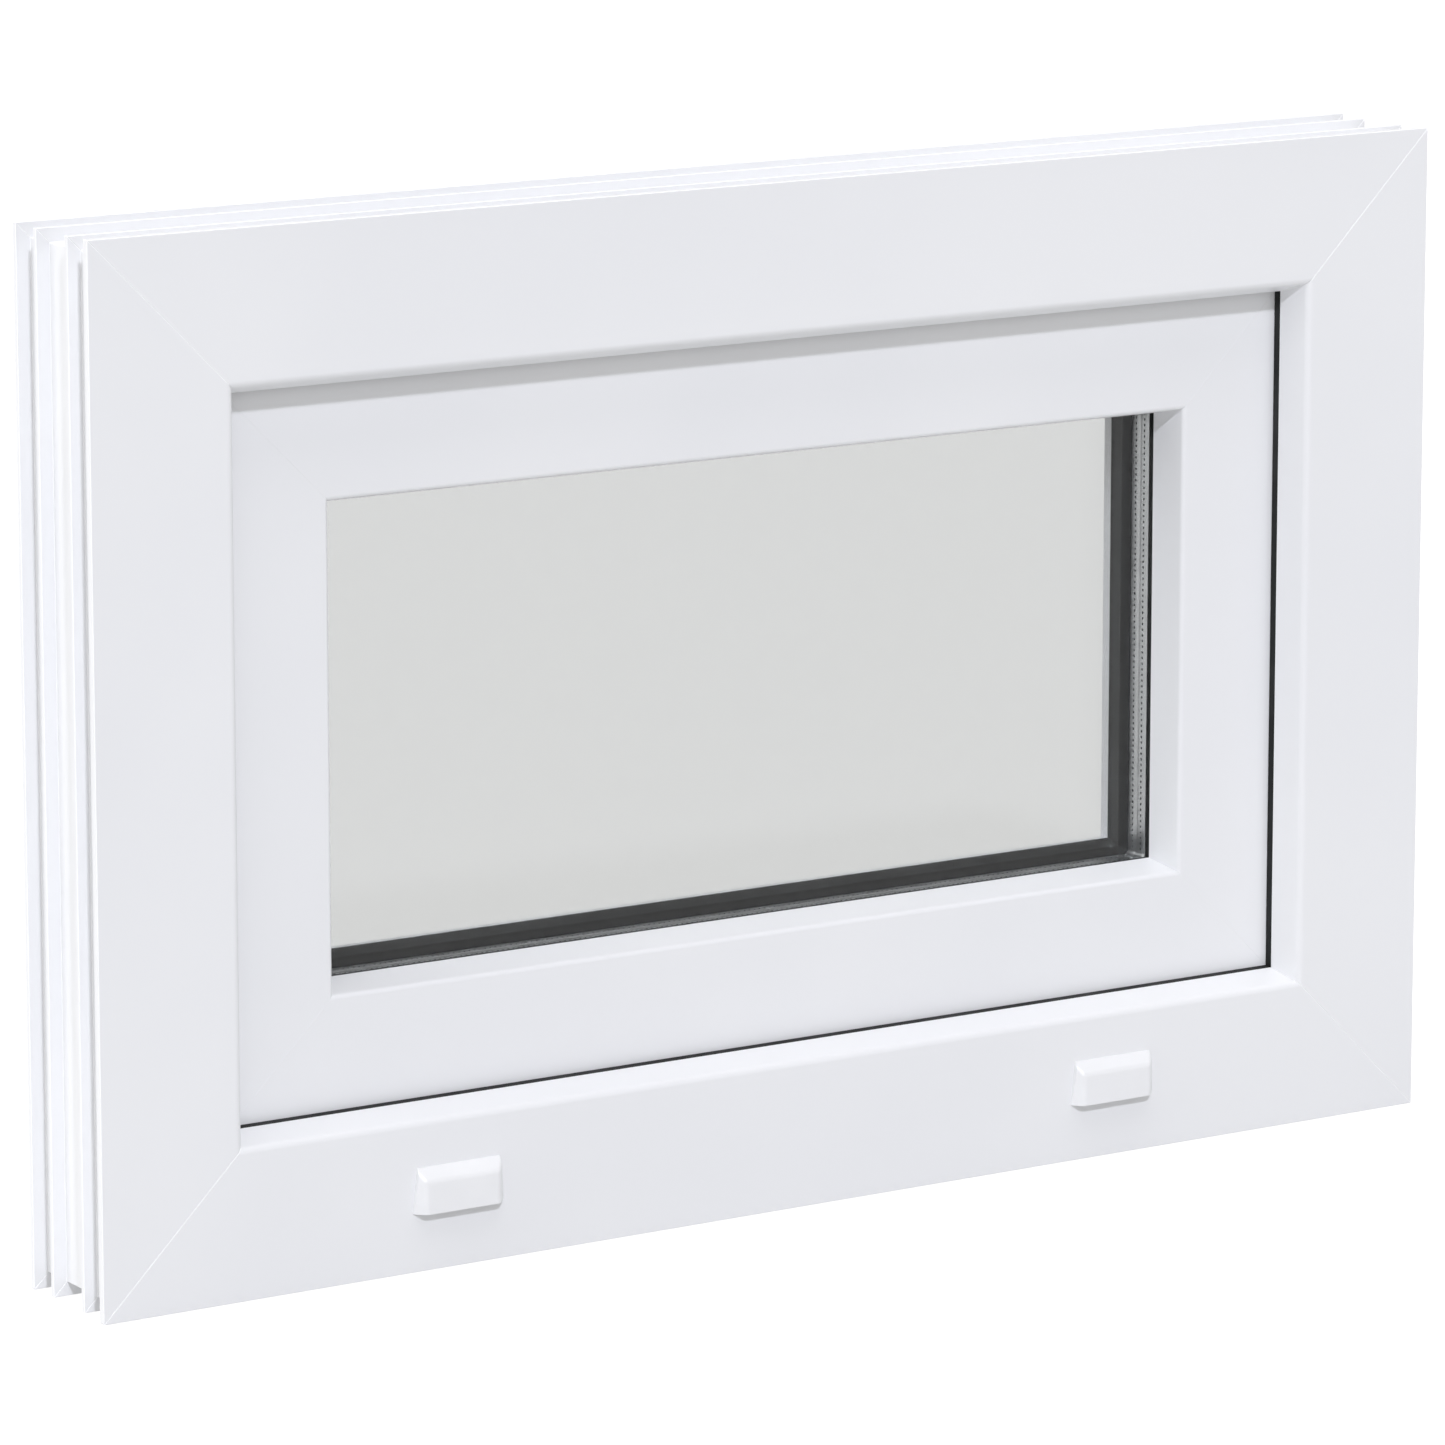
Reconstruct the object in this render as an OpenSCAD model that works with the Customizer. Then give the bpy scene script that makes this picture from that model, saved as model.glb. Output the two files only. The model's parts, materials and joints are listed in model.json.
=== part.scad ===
// Casement window: a white plastic frame with one side-hung sash that opens into the room.
// X runs along the width, Y from the outdoor face to the room and Z up. The origin is the
// middle of the frame's lowest outdoor edge. All sizes are in millimetres.

/* [Frame] */
// Overall width of the frame
window_w = 600; // [480:10:1000]
// Overall height of the frame
window_h = 400; // [400:10:1000]
// Depth of the frame from its outdoor face to its room face
frame_depth = 58; // [57.5:0.5:60]
// Width of the frame's outdoor face up to the tip of its nib
frame_tip = 62.3; // [62:0.1:63]
// Distance of that tip behind the outdoor face
frame_tip_depth = 12.85; // [12:0.05:13]
// Inset of the rebate floor from the outer edge
rebate_floor = 42; // [41:0.5:43]
// Thickness of the visible plastic walls
wall = 2.8; // [2.6:0.1:3]
// Thickness of the hidden webs between the chambers
web = 1.6; // [1.2:0.1:1.8]

/* [Drainage] */
// Distance from each end of the sill to the middle of its drainage cap
cap_from_end = 150; // [110:5:180]
// Width of a drainage cap at its base
cap_w = 39; // [34:1:44]
// Height of a drainage cap
cap_h = 17.5; // [16:0.5:19]
// How far a drainage cap stands out of the frame
cap_out = 4.6; // [4:0.1:6]
// Height of the cap's lower edge above the frame's lower edge
cap_z = 22.8; // [21:0.1:24]

/* [Sash] */
// Gap that the outdoor gasket fills between the nib and the sash
seal_gap = 3.65; // [3.4:0.05:4]
// Depth of the sash profile
sash_depth = 58; // [58:0.5:59]
// Inset of the glazed opening from the frame's outer edge
sash_tip = 109.7; // [109:0.1:111]
// Distance of the tip of the sash behind its own outdoor face
sash_tip_depth = 15.7; // [15.5:0.1:16]
// How far the sash covers the frame on the room side
overlap = 8; // [7:0.5:8]
// Gap between the sash's rebate face and the frame's rebate floor
hardware_gap = 12; // [11.5:0.5:12]

/* [Glazing] */
// Thickness of each glass pane
pane_t = 4; // [3:1:4]
// Width of the gap between the panes
pane_gap = 12; // [12:1:16]
// Clearance between the edge of the glass and the sash
glass_clearance = 5; // [4:0.5:6]
// Inset of the spacer's face that is seen between the panes
spacer_sight = 108; // [106:0.5:109]
// Inset of the room gasket's highest edge, beside the bead
bead_sight = 114.2; // [112:0.1:115]

/* [Handle] */
// Length of the lever from its axis to its end
lever_reach = 75; // [60:1:130]
// Distance from the sash to the back of the lever
lever_gap = 27; // [25:1:32]
// Turn of the handle between its locked and its open position
handle_turn = 90; // [90:1:90]

/* [Lock] */
// Teeth on the drive gear
gear_teeth = 16; // [16:1:16]
// Module of the drive gear
gear_module = 1.2; // [1.2:0.05:1.2]
// Distance of each locking cam from the middle of the window's height
cam_from_mid = 100; // [80:1:105]

/* [Hinges] */
// Inset of the hinge axis from the frame's outer edge
axis_inset = 25; // [24.5:0.1:25]
// Distance of each hinge from the end of the frame
hinge_from_end = 36; // [36:1:60]
// Radius of a hinge knuckle
knuckle_r = 7; // [6.8:0.1:7]
// Radius of a hinge pin
pin_r = 3.5; // [3:0.1:3.5]

/* [Hidden] */

// Colours
plastic_white = [0.93, 0.935, 0.945];
rubber_black = [0.10, 0.10, 0.105];
steel_grey = [0.66, 0.67, 0.69];
zinc_grey = [0.74, 0.75, 0.77];
spacer_grey = [0.60, 0.61, 0.63];
glass_tint = [0.78, 0.86, 0.86, 0.35];
bead_tan = [0.85, 0.80, 0.70];
packer_blue = [0.20, 0.38, 0.70];
round_fn = 64;
big = 400;

// Frame profile. A section is drawn with its inset from the frame's outer edge along x
// and the depth from the outdoor face along y.
nose_r = 3;
nose_steps = 6;
frame_corner = 58;
frame_lean = atan2(frame_tip_depth, frame_tip - frame_corner);
frame_nib_back = frame_tip_depth + 0.55;
low_floor = rebate_floor - 6;
ramp_y = [30, 34];
edge_r = 1;
lip_t = 3.3;
back_lip_t = 2.4;
rib_t = 2.2;
rib_y = [16.3, 40.6];
rib_drop = 0.5;
groove_floor = 6;
nib_groove = [54.5, 57.5];
nib_groove_depth = 1.9;
nib_wall = 1.4;
frame_steel_room = [16.2, 43.5];
drain_slot = [28, 5];
drain_slot_rise = 7;
rebate_slot_h = 4;
rebate_slot_shift = 60;

// Sash profile
sash_face = frame_tip_depth + seal_gap;
sash_back = sash_face + sash_depth;
sash_lap = rebate_floor - overlap;
sash_rebate = rebate_floor + hardware_gap;
lap_y = frame_depth + 3;
sash_corner = 106.3;
sash_lean = atan2(sash_tip_depth, sash_tip - sash_corner);
sash_nose_r = 2;
sash_tip_y = sash_face + sash_tip_depth;
glass_rebate = sash_tip - 20;
groove_mid = sash_face + 31.5;
plate_groove = [16, 2.2];
slot_groove = [12, 8];
hardware_room = 8.4;
lap_groove = [37, 40];
lap_groove_depth = 2;
bead_groove = [sash_back - 10.4, sash_back - 7.4];
bead_groove_depth = 4;

// Glazing, from the outdoor side to the room side
outdoor_seal = 2.8;
room_seal = 3.3;
pane_edge = glass_rebate + glass_clearance;
outdoor_pane_y = sash_tip_y + outdoor_seal;
gap_y = outdoor_pane_y + pane_t;
room_pane_y = gap_y + pane_gap;
bead_y = room_pane_y + pane_t + room_seal;
spacer_h = 6.5;
spacer_wall = 0.6;
spacer_inset = spacer_sight - spacer_h;
packer_l = 80;
packer_from_end = 60;

// Reinforcement bars
steel_t = 1.5;
steel_end_gap = 6;
frame_steel_inset = [9.3, 32.6];
frame_steel_y = [17, 43];
sash_steel_inset = [57.3, 86.4];
sash_steel_y = [sash_face + 10, sash_face + 21];

// Drive gear and rail in the left stile
face_t = 2;
rail_t = 2;
rail_w = 9.8;
slip = 0.15;
mid_z = window_h / 2;
pitch_r = gear_module * gear_teeth / 2;
tip_r = pitch_r + gear_module;
root_r = pitch_r - 1.25 * gear_module;
pressure = 20;
backlash = 0.35;
rail_inset = sash_rebate + face_t + slip;
rail_in_back = rail_inset + rail_t;
pitch_inset = rail_in_back + 1.25 * gear_module;
spindle_inset = pitch_inset + pitch_r;
rail_travel = pitch_r * handle_turn * PI / 180;
gear_t = 7.4;
case_t = 11.8;
case_wall = 2;
case_half_h = 40;
cheek_t = (case_t - rail_w) / 2 - 0.15;
case_inset = [rail_in_back + gear_module * 2.25 + 0.4, spindle_inset + 14.5];
hub_r = 7;
running = 0.05;
square_w = 7;
square_slip = 0.04;
rail_ends = [-cam_from_mid - 12, cam_from_mid + 8];
rack_teeth = [-5, 2];
cam_shaft_r = 3;
cam_head_r = 5;
cam_head_t = 4;
cam_out = 8;
plate_half_l = window_h / 2 - sash_rebate - 10;
plate_screw_from_mid = plate_half_l - 6;
screw_r = 2;
screw_head_r = 3.8;
screw_slip = 0.05;

// Keepers on the left jamb
keeper_t = 2.5;
keeper_w = 18;
keeper_l = 44;
keeper_rise = 9;
keeper_hook = [5.5, 8.6];
keeper_screw_from_mid = 17;

// Handle
handle_screw_pitch = 43;
handle_base_size = [28.6, 63.6, 3];
rose_size = [31, 66, 10];
rose_wall = 1;
neck_r = 9;
lever_t = 11;
lever_head_r = 11;
lever_end_r = 8;
m5_r = 2.4;
m5_head_r = 4.4;
m5_head_t = 2.6;

// Hinges on the right side
axis_y = frame_depth + 10;
axis_x = window_w / 2 - axis_inset;
knuckle_l = 20;
knuckle_gap = 0.4;
leaf_t = 2.4;
leaf_y = frame_depth + 0.4;
leaf_l = 19;
leaf_plate_l = 46;
leaf_plate_depth = 21;
bracket_t = 2.5;
bracket_l = 46;
bracket_wide_l = 33;
bracket_drop = 13;
bracket_inset = [8, 32];
bracket_step_inset = 17;
bracket_screw_inset = 13;
bracket_screw_rise = [7, 23, 39];
web_half = 4;
leaf_screw_rise = [12, 25, 38];
cover_t = 1.2;
cover_slip = 0.3;
cover_front_t = 3;

function left_x(inset) = -window_w / 2 + inset;
function right_x(inset) = window_w / 2 - inset;

// A run of points on an arc
function arc(cx, cy, r, from, to, n) = [
    for (i = [0:n])
        let (a = from + (to - from) * i / n)
        [cx + r * cos(a), cy + r * sin(a)]
];

// The rounded edge where a face at depth y turns into a reveal that leans by an angle
function nose(corner, y, lean, r) =
    arc(corner - r * tan(lean / 2), y + r, r, -90, -90 + lean, nose_steps);

// Places what is drawn in section coordinates on one side of the frame
module on_sill() rotate([0, -90, 0]) children();
module on_head() translate([0, 0, window_h]) rotate([0, 90, 0]) children();
module on_left() translate([-window_w / 2, 0, window_h / 2]) children();
module on_right() translate([window_w / 2, 0, window_h / 2]) rotate([0, 180, 0]) children();

// A length of profile whose two ends are cut at 45 degrees through the frame's outer corners
module mitred(length) {
    over = 5;
    reach = 140;
    half = length / 2;
    intersection() {
        linear_extrude(length + 4 * over, center = true) children();
        translate([0, big / 2, 0]) rotate([90, 0, 0]) linear_extrude(big)
            polygon([[-over, -half - over], [-over, half + over],
                     [reach, half - reach], [reach, reach - half]]);
    }
}

// A closed frame of one section, with mitred corners
module ring() {
    on_sill() mitred(window_w) children();
    on_head() mitred(window_w) children();
    on_left() mitred(window_h) children();
    on_right() mitred(window_h) children();
}

// A rectangular frame of plain rectangular section
module square_ring(inset, y) {
    difference() {
        inset_block(inset[0], y);
        inset_block(inset[1], [y[0] - 1, y[1] + 1]);
    }
}

// A block that keeps the same inset on all four sides
module inset_block(inset, y) {
    translate([left_x(inset), y[0], inset])
        cube([window_w - 2 * inset, y[1] - y[0], window_h - 2 * inset]);
}

// A block between two corners
module block(low, high) translate(low) cube(high - low);

// A cylinder along Y
module along_y(x, y, z, r) {
    translate([x, y[1], z]) rotate([90, 0, 0])
        cylinder(h = y[1] - y[0], r = r, $fn = round_fn);
}

// A cylinder across the left stile, from one inset to another
module along_x(inset, y, z, r) {
    translate([left_x(inset[0]), y, z]) rotate([0, 90, 0])
        cylinder(h = inset[1] - inset[0], r = r, $fn = round_fn);
}

// A shape drawn in x and z, with its thickness along Y
module plate_y(y) {
    translate([0, y[1], 0]) rotate([90, 0, 0]) linear_extrude(y[1] - y[0]) children();
}

// A rectangle with round corners
module round_rect(w, h, r) {
    square([w - 2 * r, h], center = true);
    square([w, h - 2 * r], center = true);
    for (sx = [-1, 1], sz = [-1, 1])
        translate([sx * (w / 2 - r), sz * (h / 2 - r)]) circle(r, $fn = round_fn);
}

// A slot with round ends that runs up and down
module slot(w, h) {
    square([w, h - w], center = true);
    for (s = [-1, 1]) translate([0, s * (h - w) / 2]) circle(w / 2, $fn = round_fn);
}

// A countersunk screw along z with its flat head at z = 0
module screw(length, r = screw_r, head_r = screw_head_r) {
    head_t = head_r - r;
    rotate_extrude($fn = round_fn)
        polygon([[0, 0], [head_r, 0], [r, -head_t], [r, -length + r],
                 [0.3, -length], [0, -length]]);
}

// ---------------------------------------------------------------- frame profiles

module frame_outline() {
    polygon(concat(
        [[0, 0]],
        nose(frame_corner, 0, frame_lean, nose_r),
        [[frame_tip, frame_tip_depth], [frame_tip - 0.2, frame_nib_back],
         [nib_groove[1], frame_nib_back], [nib_groove[1], frame_nib_back - nib_groove_depth],
         [nib_groove[0], frame_nib_back - nib_groove_depth], [nib_groove[0], frame_nib_back],
         [low_floor, frame_nib_back], [low_floor, ramp_y[0]], [rebate_floor, ramp_y[1]]],
        arc(rebate_floor - edge_r, frame_depth - edge_r, edge_r, 0, 90, 4),
        [[0, frame_depth], [0, frame_depth - back_lip_t],
         [groove_floor, frame_depth - back_lip_t], [groove_floor, rib_y[1] + rib_t],
         [rib_drop, rib_y[1] + rib_t], [rib_drop, rib_y[1]],
         [groove_floor, rib_y[1]], [groove_floor, rib_y[0] + rib_t],
         [rib_drop, rib_y[0] + rib_t], [rib_drop, rib_y[0]],
         [groove_floor, rib_y[0]], [groove_floor, lip_t], [0, lip_t]]
    ));
}

module frame_chambers() {
    inner = groove_floor + wall;
    step = low_floor - wall;
    main_y = frame_steel_room;
    nib_bottom = frame_nib_back - nib_groove_depth - nib_wall;
    // Behind the outdoor face and up into the nib
    polygon([[inner, wall], [frame_corner - 3.6, wall], [frame_corner - 0.7, nib_bottom - 0.3],
             [nib_groove[1] - 0.5, nib_bottom], [step, nib_bottom],
             [step, main_y[0] - web], [inner, main_y[0] - web]]);
    // For the reinforcement
    polygon([[inner, main_y[0]], [step, main_y[0]], [step, ramp_y[0] + 0.8],
             [rebate_floor - wall, ramp_y[1] + 0.8], [rebate_floor - wall, main_y[1]],
             [inner, main_y[1]]]);
    // Behind the room face
    polygon([[inner, main_y[1] + web], [rebate_floor - wall, main_y[1] + web],
             [rebate_floor - wall, frame_depth - wall], [inner, frame_depth - wall]]);
}

module frame_section() {
    difference() {
        frame_outline();
        frame_chambers();
    }
}

// Slots that let water out of the rebate and then out of the outdoor face
module drain_slots() {
    half = drain_slot / 2;
    for (s = [-1, 1]) {
        translate([s * (window_w / 2 - cap_from_end), 0, cap_z + drain_slot_rise])
            block([-half[0], -1, -half[1]], [half[0], wall + 1, half[1]]);
        translate([s * (window_w / 2 - cap_from_end - rebate_slot_shift), 0, low_floor + 0.2])
            block([-half[0], frame_nib_back - 5, 0],
                  [half[0], frame_nib_back + 1, rebate_slot_h]);
    }
}

module frame_sill() {
    color(plastic_white) difference() {
        on_sill() mitred(window_w) frame_section();
        drain_slots();
    }
}

module frame_head() {
    color(plastic_white) on_head() mitred(window_w) frame_section();
}

module frame_jamb_left() {
    color(plastic_white) difference() {
        on_left() mitred(window_h) frame_section();
        for (side = [-1, 1], s = [-1, 1])
            along_x([rebate_floor - 6, rebate_floor + 1], groove_mid + 2,
                    keeper_mid(side) + s * keeper_screw_from_mid, screw_r + screw_slip);
    }
}

module frame_jamb_right() {
    color(plastic_white) difference() {
        on_right() mitred(window_h) frame_section();
        for (side = [-1, 1]) hinge_screw_places(side)
            along_y(0, [frame_depth - 6, frame_depth + 1], 0, screw_r + screw_slip);
    }
}

// ---------------------------------------------------------------- reinforcement

module frame_steel(length) {
    bar = length - 2 * (frame_steel_inset[1] + steel_end_gap);
    color(zinc_grey) linear_extrude(bar, center = true) difference() {
        translate([frame_steel_inset[0], frame_steel_y[0]])
            square([frame_steel_inset[1] - frame_steel_inset[0],
                    frame_steel_y[1] - frame_steel_y[0]]);
        translate([frame_steel_inset[0] + steel_t, frame_steel_y[0] + steel_t])
            square([frame_steel_inset[1], frame_steel_y[1] - frame_steel_y[0] - 2 * steel_t]);
    }
}

module frame_steel_sill() on_sill() frame_steel(window_w);
module frame_steel_head() on_head() frame_steel(window_w);
module frame_steel_left() on_left() frame_steel(window_h);
module frame_steel_right() on_right() frame_steel(window_h);

module sash_steel(length) {
    bar = length - 2 * (sash_steel_inset[1] + steel_end_gap);
    size = [sash_steel_inset[1] - sash_steel_inset[0], sash_steel_y[1] - sash_steel_y[0]];
    color(zinc_grey) linear_extrude(bar, center = true)
        translate([sash_steel_inset[0], sash_steel_y[0]]) difference() {
            square(size);
            translate([steel_t, steel_t]) square([size[0] - 2 * steel_t, size[1] - 2 * steel_t]);
        }
}

module sash_steel_bottom() on_sill() sash_steel(window_w);
module sash_steel_top() on_head() sash_steel(window_w);
module sash_steel_left() on_left() sash_steel(window_h);
module sash_steel_right() on_right() sash_steel(window_h);

// ---------------------------------------------------------------- gaskets

module frame_gasket() {
    foot = frame_nib_back - nib_groove_depth + 0.05;
    top = sash_face - 0.3;
    color(rubber_black) ring()
        polygon([[nib_groove[0] + 0.1, foot], [nib_groove[1] - 0.1, foot],
                 [nib_groove[1] - 0.1, frame_nib_back], [frame_tip - 0.25, frame_nib_back],
                 [frame_tip - 0.1, frame_nib_back + 0.5], [frame_tip + 0.35, top],
                 [nib_groove[0] + 3, top], [nib_groove[0], frame_nib_back + 1.2],
                 [nib_groove[0], frame_nib_back], [nib_groove[0] + 0.1, frame_nib_back]]);
}

module overlap_gasket() {
    foot = lap_y + lap_groove_depth - 0.05;
    tip = frame_depth + 0.35;
    notch_z = hinge_from_end + knuckle_l;
    color(rubber_black) difference() {
        ring()
            polygon([[lap_groove[0] + 0.1, foot], [lap_groove[1] - 0.1, foot],
                     [lap_groove[1] - 0.1, lap_y], [lap_groove[1] + 0.6, lap_y],
                     [lap_groove[1] + 0.4, lap_y - 1.2], [lap_groove[0] + 0.4, tip],
                     [lap_groove[0] - 0.9, tip + 0.5], [lap_groove[0] - 0.6, lap_y],
                     [lap_groove[0] + 0.1, lap_y]]);
        for (z = [notch_z, window_h - notch_z - leaf_l - 1])
            block([right_x(45), frame_depth, z], [right_x(sash_lap), lap_y, z + leaf_l + 1]);
    }
}

module outdoor_glazing_gasket() {
    foot = sash_tip - 8.7;
    color(rubber_black) ring()
        polygon([[foot, sash_tip_y], [sash_tip - 0.4, sash_tip_y],
                 [sash_tip - 0.1, sash_tip_y + 0.6], [sash_tip - 0.3, outdoor_pane_y],
                 [foot + 2, outdoor_pane_y], [foot, outdoor_pane_y - 1]]);
}

// Lies flat on the glass and then turns away from it up to the bead's edge
module room_glazing_gasket() {
    back = room_pane_y + pane_t;
    foot = bead_sight - 12;
    bend = bead_sight - 3;
    color(rubber_black) ring()
        polygon([[foot, bead_y], [foot, bead_y - 2], [foot + 2, back], [bend, back],
                 [bead_sight - 0.6, bead_y - 1.2], [bead_sight, bead_y - 0.5],
                 [bead_sight - 0.2, bead_y]]);
}

// ---------------------------------------------------------------- drainage caps

// A cap's outer shape: its sides, top and front lean back towards the frame
module hood(w, h, out) {
    side_lean = 3.4;
    top_lean = 4.6;
    taper = 1.6;
    intersection() {
        rotate([90, 0, 0]) linear_extrude(out)
            polygon([[-w / 2, 0], [w / 2, 0], [w / 2 - taper, h], [-w / 2 + taper, h]]);
        translate([-w / 2, 0, 0]) rotate([90, 0, 90]) linear_extrude(w)
            polygon([[0, 0], [-out, 0], [-out, h - top_lean], [-0.6, h], [0, h]]);
        linear_extrude(h)
            polygon([[-w / 2, 0], [-w / 2, -0.6], [-w / 2 + side_lean, -out],
                     [w / 2 - side_lean, -out], [w / 2, -0.6], [w / 2, 0]]);
    }
}

module drain_cap(side) {
    shell = 1.4;
    clip_x = 12;
    color(plastic_white) translate([side * (window_w / 2 - cap_from_end), 0, cap_z]) {
        difference() {
            hood(cap_w, cap_h, cap_out);
            translate([0, 0, -shell]) hood(cap_w - 2 * shell, cap_h, cap_out - shell);
        }
        // Clips that reach through the drainage slot
        for (s = [-1, 1]) {
            block([s * clip_x - 1.2, -cap_out + shell, 5.6],
                  [s * clip_x + 1.2, wall + 1.2, 8.4]);
        }
    }
}

module drain_cap_left() drain_cap(-1);
module drain_cap_right() drain_cap(1);

// ---------------------------------------------------------------- sash profiles

module sash_outline() {
    plate = [groove_mid - plate_groove[0] / 2, groove_mid + plate_groove[0] / 2];
    in = [groove_mid - slot_groove[0] / 2, groove_mid + slot_groove[0] / 2];
    polygon(concat(
        [[sash_rebate, sash_face + 1.2], [sash_rebate + 1.2, sash_face]],
        nose(sash_corner, sash_face, sash_lean, sash_nose_r),
        [[sash_tip, sash_tip_y], [glass_rebate, sash_tip_y],
         [glass_rebate, bead_groove[0]], [glass_rebate - bead_groove_depth, bead_groove[0]],
         [glass_rebate - bead_groove_depth, bead_groove[1]], [glass_rebate, bead_groove[1]],
         [glass_rebate, sash_back]],
        arc(sash_lap + 2, sash_back - 2, 2, 90, 180, nose_steps),
        [[sash_lap, lap_y], [lap_groove[0], lap_y], [lap_groove[0], lap_y + lap_groove_depth],
         [lap_groove[1], lap_y + lap_groove_depth], [lap_groove[1], lap_y],
         [sash_rebate, lap_y], [sash_rebate, plate[1]], [sash_rebate + plate_groove[1], plate[1]],
         [sash_rebate + plate_groove[1], in[1]], [sash_rebate + slot_groove[1], in[1]],
         [sash_rebate + slot_groove[1], in[0]], [sash_rebate + plate_groove[1], in[0]],
         [sash_rebate + plate_groove[1], plate[0]], [sash_rebate, plate[0]]]
    ));
}

module sash_chambers() {
    inner = sash_rebate + wall;
    outer = glass_rebate - wall;
    bed = sash_face + 8;
    deep = sash_rebate + slot_groove[1] + 2.4;
    // Behind the outdoor face and up into the nib
    polygon([[inner, sash_face + wall], [sash_corner - 3.2, sash_face + wall],
             [sash_tip - 4, sash_tip_y - wall], [glass_rebate + 2, sash_tip_y - wall],
             [outer, bed], [inner, bed]]);
    // For the reinforcement
    polygon([[inner, bed + web], [outer, bed + web],
             [outer, sash_steel_y[1] + 0.4], [inner, sash_steel_y[1] + 0.4]]);
    // Between the hardware groove and the glass
    polygon([[deep, groove_mid - hardware_room], [outer, groove_mid - hardware_room],
             [outer, groove_mid + hardware_room], [deep, groove_mid + hardware_room]]);
    // Behind the room face
    polygon([[inner + 0.3, groove_mid + 10], [outer, groove_mid + 10],
             [outer, lap_y + 1.2], [inner + 0.3, lap_y + 1.2]]);
    polygon([[lap_groove[1] + wall, lap_y + wall], [bead_groove_web(), lap_y + wall],
             [bead_groove_web(), sash_back - wall], [lap_groove[1] + wall, sash_back - wall]]);
}

function bead_groove_web() = glass_rebate - bead_groove_depth - wall;

module sash_section() {
    difference() {
        sash_outline();
        sash_chambers();
    }
}

module sash_bottom_rail() color(plastic_white) on_sill() mitred(window_w) sash_section();
module sash_top_rail() color(plastic_white) on_head() mitred(window_w) sash_section();

module sash_stile_left() {
    pocket = case_half_h + 2;
    color(plastic_white) difference() {
        on_left() mitred(window_h) sash_section();
        // Routed pocket for the gearbox
        block([left_x(sash_rebate + 1), groove_mid - slot_groove[0] / 2, mid_z - pocket],
              [left_x(case_inset[1] + 0.6), groove_mid + slot_groove[0] / 2, mid_z + pocket]);
        // Holes for the spindle and the handle's two screws
        along_y(left_x(spindle_inset), [groove_mid, sash_back + 1], mid_z, 6.2);
        for (s = [-1, 1])
            along_y(left_x(spindle_inset), [groove_mid, sash_back + 1],
                    mid_z + s * handle_screw_pitch / 2, m5_r + 0.3);
        for (s = [-1, 1])
            along_x([sash_rebate, sash_rebate + 14], groove_mid,
                    mid_z + s * plate_screw_from_mid, screw_r + screw_slip);
    }
}

module sash_stile_right() {
    color(plastic_white) difference() {
        on_right() mitred(window_h) sash_section();
        for (side = [-1, 1]) leaf_screw_places(side)
            translate([-14, 0, 0]) rotate([0, 90, 0])
                cylinder(h = 15, r = screw_r + screw_slip, $fn = round_fn);
    }
}

// ---------------------------------------------------------------- glazing

module bead_section() {
    top = bead_sight - 0.3;
    base = glass_rebate;
    foot = bead_groove[0] + 0.2;
    polygon(concat(
        [[base, bead_y], [top, bead_y], [top - 0.5, bead_y + 5.4]],
        arc(base + 12.5, sash_back - 2.2, 2, 35, 90, nose_steps),
        [[base, sash_back - 0.2], [base, bead_groove[1] - 0.2],
         [base - 3.6, bead_groove[1] - 0.6], [base - 3.6, foot], [base, foot]]
    ));
}

module bead(length) color(plastic_white) mitred(length) bead_section();
module glazing_bead_bottom() on_sill() bead(window_w);
module glazing_bead_top() on_head() bead(window_w);
module glazing_bead_left() on_left() bead(window_h);
module glazing_bead_right() on_right() bead(window_h);

module outdoor_pane() color(glass_tint) inset_block(pane_edge, [outdoor_pane_y, gap_y]);
module room_pane() {
    color(glass_tint) inset_block(pane_edge, [room_pane_y, room_pane_y + pane_t]);
}

module spacer_bar() {
    y = [gap_y, room_pane_y];
    color(spacer_grey) difference() {
        square_ring([spacer_inset, spacer_sight], y);
        square_ring([spacer_inset - 1, spacer_sight - spacer_wall],
                    [y[0] + spacer_wall, y[1] - spacer_wall]);
    }
}

module desiccant() {
    fill = spacer_wall + 0.05;
    color(bead_tan) square_ring([spacer_inset + 0.4, spacer_sight - fill],
                                [gap_y + fill, room_pane_y - fill]);
}

module edge_sealant() {
    color(rubber_black) square_ring([pane_edge, spacer_inset], [gap_y, room_pane_y]);
}

module glazing_packers() {
    y = [outdoor_pane_y + 0.5, room_pane_y + pane_t - 0.5];
    in = [glass_rebate, pane_edge];
    end = pane_edge + packer_from_end;
    color(packer_blue) {
        for (x = [left_x(end), right_x(end) - packer_l])
            block([x, y[0], in[0]], [x + packer_l, y[1], in[1]]);
        block([left_x(in[0]), y[0], mid_z - packer_l / 2], [left_x(in[1]), y[1], mid_z]);
        block([right_x(in[1]), y[0], mid_z], [right_x(in[0]), y[1], mid_z + packer_l / 2]);
    }
}

// ---------------------------------------------------------------- lock

function keeper_mid(side) = mid_z + side * cam_from_mid + rail_travel / 2;

module keeper(side) {
    cam_z = mid_z + side * cam_from_mid;
    z0 = keeper_mid(side) - keeper_l / 2;
    y0 = groove_mid - keeper_w / 2 + 2;
    hook = [groove_mid + keeper_hook[0], groove_mid + keeper_hook[1]];
    color(zinc_grey) difference() {
        union() {
            block([left_x(rebate_floor), y0, z0],
                  [left_x(rebate_floor + keeper_t), y0 + keeper_w, z0 + keeper_l]);
            // Hook that holds the cam from the room side once it has risen
            block([left_x(rebate_floor), hook[0], cam_z + cam_head_r + 2],
                  [left_x(rebate_floor + keeper_rise), hook[1], z0 + keeper_l]);
        }
        for (s = [-1, 1])
            translate([left_x(rebate_floor + keeper_t), groove_mid + 2,
                       keeper_mid(side) + s * keeper_screw_from_mid])
                rotate([0, 90, 0]) screw_hole();
    }
}

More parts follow.
